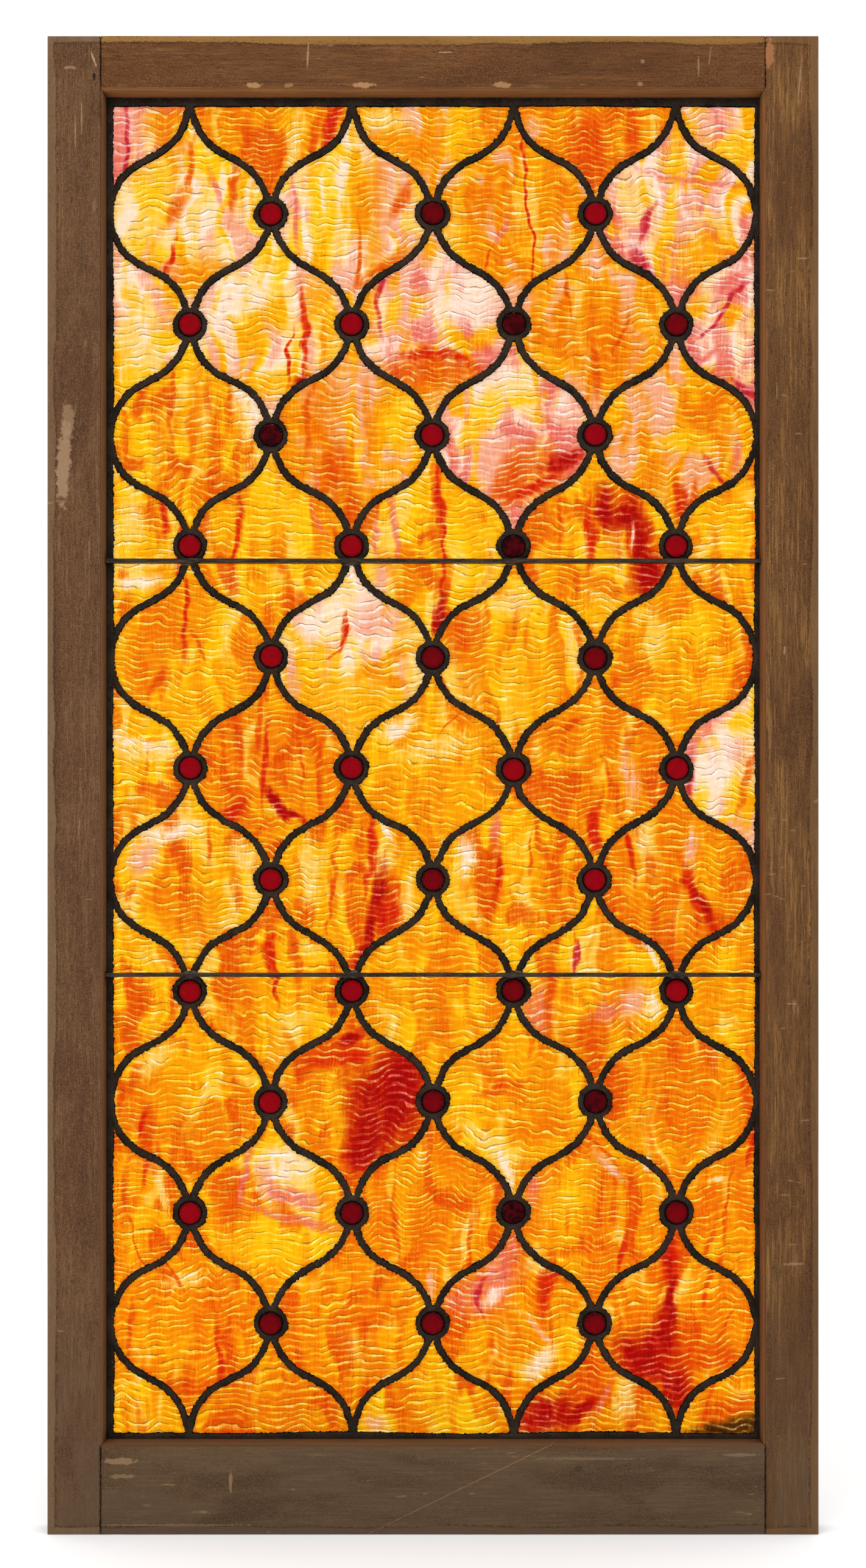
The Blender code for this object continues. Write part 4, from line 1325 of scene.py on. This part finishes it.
def make_member(node, look):
    """A sash member from its solid: arrises eased, and slightly uneven along its length."""
    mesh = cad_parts[node].data.copy()
    mesh.name = node + "_wood"
    mesh.materials.clear()
    bm = bmesh.new()
    bm.from_mesh(mesh)
    bmesh.ops.remove_doubles(bm, verts=bm.verts, dist=WELD)
    bmesh.ops.dissolve_limit(bm, angle_limit=math.radians(1.0), verts=bm.verts, edges=bm.edges)
    sharp = [edge for edge in bm.edges if edge.calc_face_angle(0.0) > math.radians(60)]
    bmesh.ops.bevel(
        bm, geom=sharp, offset=ARRIS, segments=3, profile=0.5, affect="EDGES", clamp_overlap=True,
    )
    low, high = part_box(node)
    axis = "xyz".index(look["along"])
    normal = Vector((0.0, 0.0, 0.0))
    normal[axis] = 1.0
    count = round((high[axis] - low[axis]) / DENT_STEP)
    for k in range(1, count):
        place = Vector((0.0, 0.0, 0.0))
        place[axis] = low[axis] + (high[axis] - low[axis]) * k / count
        geometry = bm.verts[:] + bm.edges[:] + bm.faces[:]
        bmesh.ops.bisect_plane(bm, geom=geometry, plane_co=place, plane_no=normal)
    slow = Waves(80 + look["seed"], 160 * MM, 160 * MM)
    quick = Waves(90 + look["seed"], 24 * MM, 24 * MM)
    for vert in bm.verts:
        run = vert.co[axis]
        side = vert.co[2 - axis] * 8
        shift = 0.10 * MM * float(slow(run, side)) + 0.06 * MM * float(quick(run, side))
        vert.co.y += shift if abs(vert.co.y) > 0.9 * abs(FACE_Y) else 0.0
    store_faced_out(bm, mesh)
    mesh.shade_smooth()
    mesh.set_sharp_from_angle(angle=math.radians(32))
    piece = add_piece(mesh.name, mesh, wood_material(node, look))
    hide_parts(node)


def wood_material(node, look):
    """Old varnished wood: grain along the piece, a worn band at the sash's edge, scuffs and scratches, and
    a moulding with painted light and painted shade.
    """
    s = Shader(node + "_varnish", {"Specular IOR Level": 0.06})
    shift = (look["seed"] * 3.1, look["seed"] * 1.7, look["seed"] * 2.3)
    upright = look["along"] == "z"

    def lay(along, across):
        """Scale for a texture that runs along the member."""
        return (across, across, along) if upright else (along, across, across)

    def texture(along, across, detail, roughness=0.5, distortion=0.0):
        """Noise that runs along the member."""
        return s.noise(s.stretched(lay(along, across), shift=shift), 1.0, detail, roughness, distortion)

    x, y, z = s.axes()
    figure = texture(4, 60, 5.0, distortion=0.4)
    grain = texture(22, 620, 5.0, 0.65)
    pores = texture(110, 1700, 3.0)
    patch = texture(9, 34, 4.0, 0.6, 0.5)
    speckle = texture(1500, 1500, 2.0, 0.7)
    cloud = texture(14, 14, 3.0)
    ragged = texture(300, 300, 4.0, 0.65)
    drift = texture(14, 14, 1.0)
    scratch = s.noise(s.stretched((70, 900, 260), rotation=(0.0, 0.7, 0.0), shift=shift), detail=1.0)
    scuff = s.noise(s.stretched(lay(30, 150), shift=(4.0, 2.0, 9.0)), detail=5.0, roughness=0.7)

    # The grain's own colours
    tone = s.mix(s.step(figure, 0.30, 0.60, 0.35, 1.0), linear(*look["dark"]), linear(*look["mid"]))
    tone = s.tinge(tone, cloud, 0.42, 0.70, 0.45, look["light"])
    lively = s.times(s.step(grain, 0.46, 0.62), s.step(patch, 0.40, 0.62, 0.25, 1.0))
    tone = s.mix(s.times(lively, look["streaks"]), tone, linear(*look["streak"]))
    tone = s.tinge(tone, patch, 0.52, 0.30, 0.75, look["dark"])
    tone = s.tinge(tone, pores, 0.50, 0.64, 0.55, (48, 30, 18))
    tone = s.tinge(tone, speckle, 0.50, 0.66, 0.30, (146, 116, 84))
    tone = s.tinge(tone, speckle, 0.48, 0.32, 0.42, (44, 30, 20))
    worn = s.times(s.step(z, GREYER_FROM, GREYEST_AT), s.step(patch, 0.36, 0.60, 0.30, 0.75))
    tone = s.mix(worn, tone, linear(84, 67, 50))

    # The band without varnish along the sash's outer edge, and the stain beside it
    half_width = (SASH_HIGH.x - SASH_LOW.x) / 2
    from_end = s.smaller(z, s.minus(SASH_HIGH.z, z))
    from_edge = s.smaller(s.minus(half_width, s.size(x)), from_end)
    limit = s.plus(s.step(ragged, 0.3, 0.7, 0.0050, 0.0066), s.step(drift, 0.35, 0.65, -0.0012, 0.0010))
    past = s.minus(from_edge, limit)
    band = s.rest(s.step(past, -0.0005, 0.0004))
    band_tone = s.mix(s.step(figure, 0.4, 0.6, 0.15, 0.5), linear(*look["band"]), tone)
    band_tone = s.mix(s.step(ragged, 0.54, 0.68, 0.0, 0.5), band_tone, tone)
    tone = s.mix(s.times(band, 0.9), tone, band_tone)
    stain = s.times(s.step(past, -0.0004, 0.0002), s.rest(s.step(past, 0.0004, 0.0024)))
    stain = s.times(stain, s.step(ragged, 0.42, 0.58, 0.10, 0.55))
    tone = s.mix(stain, tone, linear(50, 32, 20))

    # The joints between stiles and rails
    joint = s.size(s.minus(s.size(x), SIGHT_RIGHT + JOINT_OUT))
    seam = s.times(s.rest(s.step(joint, 0.0003, 0.0016)), s.rest(s.step(from_end, *RAIL_HEIGHT)))
    seam = s.times(seam, s.step(ragged, 0.36, 0.6, 0.35, 0.9))
    tone = s.mix(seam, tone, linear(26, 16, 10))

    # Scratches, scuffs and single marks
    tone = s.tinge(tone, scratch, 0.74, 0.79, 0.35, (150, 120, 86))
    tone = s.tinge(tone, scuff, 0.64, 0.74, 0.50, (140, 112, 80))
    for mark in WOOD_MARKS.get(node, []):
        tone = wood_mark(s, tone, ragged, x, z, *mark)

    # The moulding beside the glass, with painted light by which way it faces and painted shade where it is
    # deepest
    above_or_below = s.larger(s.minus(z, SIGHT_HIGH), s.minus(SIGHT_LOW, z))
    from_glass = s.larger(s.minus(s.size(x), SIGHT_RIGHT), above_or_below)
    lip = s.rest(s.step(from_glass, *MOULDING_WIDTH))
    lip_cover = s.times(lip, s.step(grain, 0.40, 0.56, 0.45, 0.9))
    # Painted light: each moulding is lighter or darker by which way it faces.
    tone = s.mix(lip_cover, tone, linear(*look["moulding"]))
    # Painted shade: dark in the deepest part of the moulding, beside the glass.
    soot_and_painted_shade = s.times(lip, s.step(y, FACE_Y + PAINTED_SHADE_DEPTH[0], FACE_Y + PAINTED_SHADE_DEPTH[1]))
    tone = s.mix(s.times(soot_and_painted_shade, s.step(ragged, 0.3, 0.6, 0.45, 0.9)), tone, linear(30, 20, 14))

    height = s.plus(s.times(grain, 0.8), s.times(pores, 0.5))
    height = s.minus(height, s.step(scratch, 0.74, 0.79, 0.0, 0.6))
    return s.finish(tone, s.step(cloud, 0.35, 0.65, 0.48, 0.66), s.bump(height, 0.0003, 0.55))


# Marks on the front of the wood: (colour, strength, x, z, half width, half height, lean), in millimetres
WOOD_MARKS = {
    "rail_top": [
        ((162, 122, 82), 0.75, -142, 1147, 6.5, 2.2, 0.0), ((150, 112, 74), 0.6, -114, 1147, 4.0, 1.8, 0.0),
        ((164, 124, 84), 0.75, -55, 1147, 8.5, 2.4, 0.0), ((162, 122, 82), 0.7, 55, 1147, 8.0, 2.4, 0.0),
        ((158, 118, 80), 0.6, 164, 1148, 2.2, 1.6, 0.0), ((158, 128, 92), 0.6, -99, 1171, 0.8, 9.0, 0.05),
        ((158, 128, 92), 0.6, 10, 1173, 6.0, 0.6, 0.0), ((150, 118, 80), 0.5, 166, 1166, 1.6, 1.6, 0.0),
        ((146, 116, 80), 0.5, 210, 1162, 0.8, 8.0, 0.0), ((146, 116, 80), 0.4, 219, 1170, 0.7, 7.0, 0.1),
    ],
    "stile_left": [
        ((150, 120, 92), 0.7, -292, 848, 5.5, 33, 0.05), ((140, 112, 84), 0.6, -289, 880, 5.0, 16, -0.12),
        ((168, 138, 106), 0.7, -268.5, 1168, 0.9, 6, -0.35), ((30, 24, 20), 0.9, -268, 1153.5, 1.4, 3.4, 0),
        ((150, 122, 94), 0.5, -287, 1161, 5.0, 1.2, 0.0), ((150, 122, 94), 0.5, -278, 1122, 0.6, 13.0, 0.0),
        ((150, 122, 94), 0.5, -283, 1108, 0.6, 14.0, 0.0), ((146, 118, 90), 0.45, -272, 780, 0.5, 9.0, 0.0),
        ((60, 44, 34), 0.6, -285, 200, 1.5, 1.5, 0.0), ((146, 118, 90), 0.4, -280, 560, 0.5, 10.0, 0.1),
    ],
    "stile_right": [
        ((150, 100, 62), 0.75, 266, 1172, 4.0, 11.0, 0.0), ((150, 122, 92), 0.5, 290, 1150, 0.7, 16.0, 0.1),
        ((160, 130, 98), 0.6, 278, 700, 0.7, 3.5, 0.0), ((150, 122, 92), 0.5, 284, 420, 4.0, 0.6, 0.6),
        ((146, 118, 86), 0.5, 286, 214, 9.0, 1.2, 0.0), ((150, 122, 92), 0.4, 272, 905, 0.5, 9.0, 0.0),
        ((150, 122, 92), 0.5, 292, 1010, 5.0, 0.6, 0.8),
    ],
    "rail_bottom": [
        ((146, 112, 74), 0.6, 42, 46, 0.6, 50.0, 2.05), ((140, 112, 82), 0.6, -248, 58, 12.0, 2.6, 0.0),
        ((134, 108, 78), 0.5, -246, 46, 10.0, 1.8, 0.0), ((140, 112, 82), 0.55, -160, 41, 1.4, 9.0, 0.0),
        ((120, 100, 78), 0.5, -205, 7.5, 60.0, 1.0, 0.0), ((126, 104, 80), 0.5, 244, 63, 14.0, 1.4, 0.0),
        ((124, 102, 80), 0.4, 120, 60, 40.0, 1.2, 0.0), ((48, 34, 24), 0.5, 115, 52, 3.0, 3.0, 0.0),
    ],
}


def wood_mark(s, tone, ragged, x, z, colour, strength, mark_x, mark_z, half_x, half_z, lean):
    """One ragged scuff or stain at a place on the wood's front."""
    across = s.minus(x, mark_x * MM)
    up = s.minus(z, mark_z * MM)
    if half_z > 4 * half_x:
        across = s.minus(across, s.times(up, lean))
    reach = s.reach(s.over(across, half_x * MM), s.over(up, half_z * MM))
    reach = s.plus(reach, s.swing(ragged, 2.2))
    return s.mix(s.step(reach, 0.75, 1.15, strength, 0.0), tone, linear(*colour))


# Putty

def make_putty(material):
    """The bevelled bed of putty behind the panel, knifed smooth and a little uneven."""
    low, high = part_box("glazing_putty")
    inner = dense_rectangle(SIGHT_LEFT, SIGHT_RIGHT, SIGHT_LOW, SIGHT_HIGH, 9 * MM)
    middle = np.array([(SIGHT_LEFT + SIGHT_RIGHT) / 2, (SIGHT_LOW + SIGHT_HIGH) / 2])
    half = np.array([(SIGHT_RIGHT - SIGHT_LEFT) / 2, (SIGHT_HIGH - SIGHT_LOW) / 2])
    outer_half = np.array([(high.x - low.x) / 2, (high.z - low.z) / 2])
    knife = Waves(61, 40 * MM, 40 * MM)
    crumb = Waves(62, 7 * MM, 7 * MM)
    lip = 0.09
    slope = [(share, lip + (1 - lip) * share) for share in (0.25, 0.5, 0.75, 1.0)]
    profile = [(1.0, 0.0), (0.0, 0.0), (0.0, lip)] + slope
    vertices, faces = [], []
    for share, lift in profile:
        for point in inner:
            place = middle + (point - middle) * ((1 - share) + share * outer_half / half)
            wear = 0.35 * MM * float(knife(*point)) + 0.12 * MM * float(crumb(*(point + share * 5 * MM)))
            y = low.y + (high.y - low.y) * lift - (abs(wear) if 0 < lift < 1 else 0.0)
            vertices.append((place[0], max(y, low.y), place[1]))
    sides = len(inner)
    for level in range(len(profile)):
        first, second = level * sides, (level + 1) % len(profile) * sides
        for k in range(sides):
            after = (k + 1) % sides
            faces.append((first + k, first + after, second + after, second + k))
    piece = make_piece("putty_bed", vertices, faces, material)
    face_out(piece)
    piece.data.set_sharp_from_angle(angle=math.radians(50))
    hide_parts("glazing_putty")


def putty_material():
    """Aged putty: grey cream, cracked and dusty."""
    s = Shader("aged_putty", {"Roughness": 0.85})
    cloud = s.grit(70.0, 4.0)
    crack = s.grit(420.0, 3.0, 0.7)
    colour = s.mix(s.step(cloud, 0.38, 0.62), linear(120, 106, 88), linear(158, 146, 126))
    colour = s.tinge(colour, crack, 0.56, 0.66, 0.6, (84, 70, 54))
    return s.finish(colour, normal=s.bump(crack, 0.0004, 0.7))


# Surroundings

SENSOR_HEIGHT = 36.0
FLOOR_REACH = 6.0
FLOOR_DROP = 0.1 * MM
FLOOR_GREY = 0.98

# How bright the surroundings are, and how that changes in a mirror reflection, so as not to veil the glass
SURROUNDINGS = 1.08
MIRROR_CHANGE = -1.02

# Soft lights: (place, aim, width, watts)
LIGHTS = [
    ((-1.3, -1.5, 0.05), (0.0, 0.0, 0.6), 1.2, 11.0),
    ((-0.3, -1.9, 1.2), (0.0, 0.0, 0.7), 1.5, 3.0),
    ((0.0, -0.9, 2.5), (0.0, -0.4, 0.0), 1.2, 14.0),
]


def make_camera():
    """A level camera square to the window, at the photograph's framing."""
    metres_per_pixel = (SASH_HIGH.z - SASH_LOW.z) / (SASH_BOTTOM_PX - SASH_TOP_PX)
    data = bpy.data.cameras.new("camera")
    camera = add_object("camera", data)
    height = (SASH_HIGH.z + SASH_LOW.z) / 2 - CAMERA_DROP
    camera.location = (0.0, FACE_Y - CAMERA_DISTANCE, height)
    camera.rotation_euler = (math.radians(90), 0.0, 0.0)
    data.sensor_fit = "VERTICAL"
    data.sensor_height = SENSOR_HEIGHT
    frame_height = PHOTO_HEIGHT * metres_per_pixel
    data.lens = SENSOR_HEIGHT * CAMERA_DISTANCE / frame_height
    middle_z = SASH_LOW.z + (SASH_BOTTOM_PX - PHOTO_HEIGHT / 2) * metres_per_pixel
    middle_x = (PHOTO_WIDTH / 2 - SASH_MIDDLE_PX) * metres_per_pixel
    data.shift_y = (middle_z - height) / frame_height
    data.shift_x = middle_x / frame_height
    bpy.context.scene.camera = camera


def make_stage():
    """A pale floor that the window stands on."""
    mesh = bpy.data.meshes.new("floor")
    corners = [(x * FLOOR_REACH, y * FLOOR_REACH, 0.0) for x, y in ((-1, -1), (1, -1), (1, 1), (-1, 1))]
    mesh.from_pydata(corners, [], [(0, 1, 2, 3)])
    floor = add_object("floor", mesh)
    floor.location.z = SASH_LOW.z - FLOOR_DROP
    s = Shader("pale_floor", {"Roughness": 0.9, "Specular IOR Level": 0.0})
    mesh.materials.append(s.finish((FLOOR_GREY,) * 3))
    floor.visible_glossy = False


def make_light():
    """White surroundings that glow through the glass, and soft lights in front."""
    world = bpy.data.worlds.new("studio")
    bpy.context.scene.world = world
    world.use_nodes = True
    nodes, links = world.node_tree.nodes, world.node_tree.links
    background = nodes["Background"]
    rays = nodes.new("ShaderNodeLightPath")
    strength = nodes.new("ShaderNodeMath")
    strength.operation = "MULTIPLY_ADD"
    mirror = nodes.new("ShaderNodeMath")
    mirror.operation = "SUBTRACT"
    links.new(rays.outputs["Is Glossy Ray"], mirror.inputs[0])
    links.new(rays.outputs["Is Transmission Ray"], mirror.inputs[1])
    mirror.use_clamp = True
    links.new(mirror.outputs[0], strength.inputs[0])
    strength.inputs[1].default_value = MIRROR_CHANGE
    strength.inputs[2].default_value = SURROUNDINGS
    links.new(strength.outputs[0], background.inputs["Strength"])
    background.inputs["Color"].default_value = (1.0, 1.0, 1.0, 1.0)
    for light in LIGHTS:
        add_area(*light)


def add_area(place, aim, size, power):
    """One soft square light."""
    data = bpy.data.lights.new("soft_light", "AREA")
    data.size = size
    data.energy = power
    light = add_object("soft_light", data)
    light.location = place
    light.rotation_mode = "QUATERNION"
    light.rotation_quaternion = (Vector(aim) - Vector(place)).to_track_quat("-Z", "Y")
    light.visible_glossy = False


MATERIALS = {
    "glass": {sheet: glass_material(sheet) for sheet in SHEETS},
    "lead": lead_material(),
    "ruby": jewel_material(),
    "steel": steel_material(),
    "solder": solder_material(),
    "putty": putty_material(),
}


def main():
    """Dresses the whole window."""
    bpy.context.scene.view_settings.view_transform = "Standard"
    make_camera()
    make_stage()
    make_light()
    for node, look in MEMBERS.items():
        make_member(node, look)
    make_putty(MATERIALS["putty"])
    make_lead(MATERIALS["lead"])
    for i, j in tile_crossings():
        make_tile(i, j, MATERIALS["glass"][sheet_name(i, j)])
    for number, (i, j) in enumerate(jewel_crossings(), 1):
        make_jewel(i, j, number, MATERIALS["ruby"])
    make_bar("saddle_bar_upper", MATERIALS["steel"], 4)
    make_bar("saddle_bar_lower", MATERIALS["steel"], 8)


main()
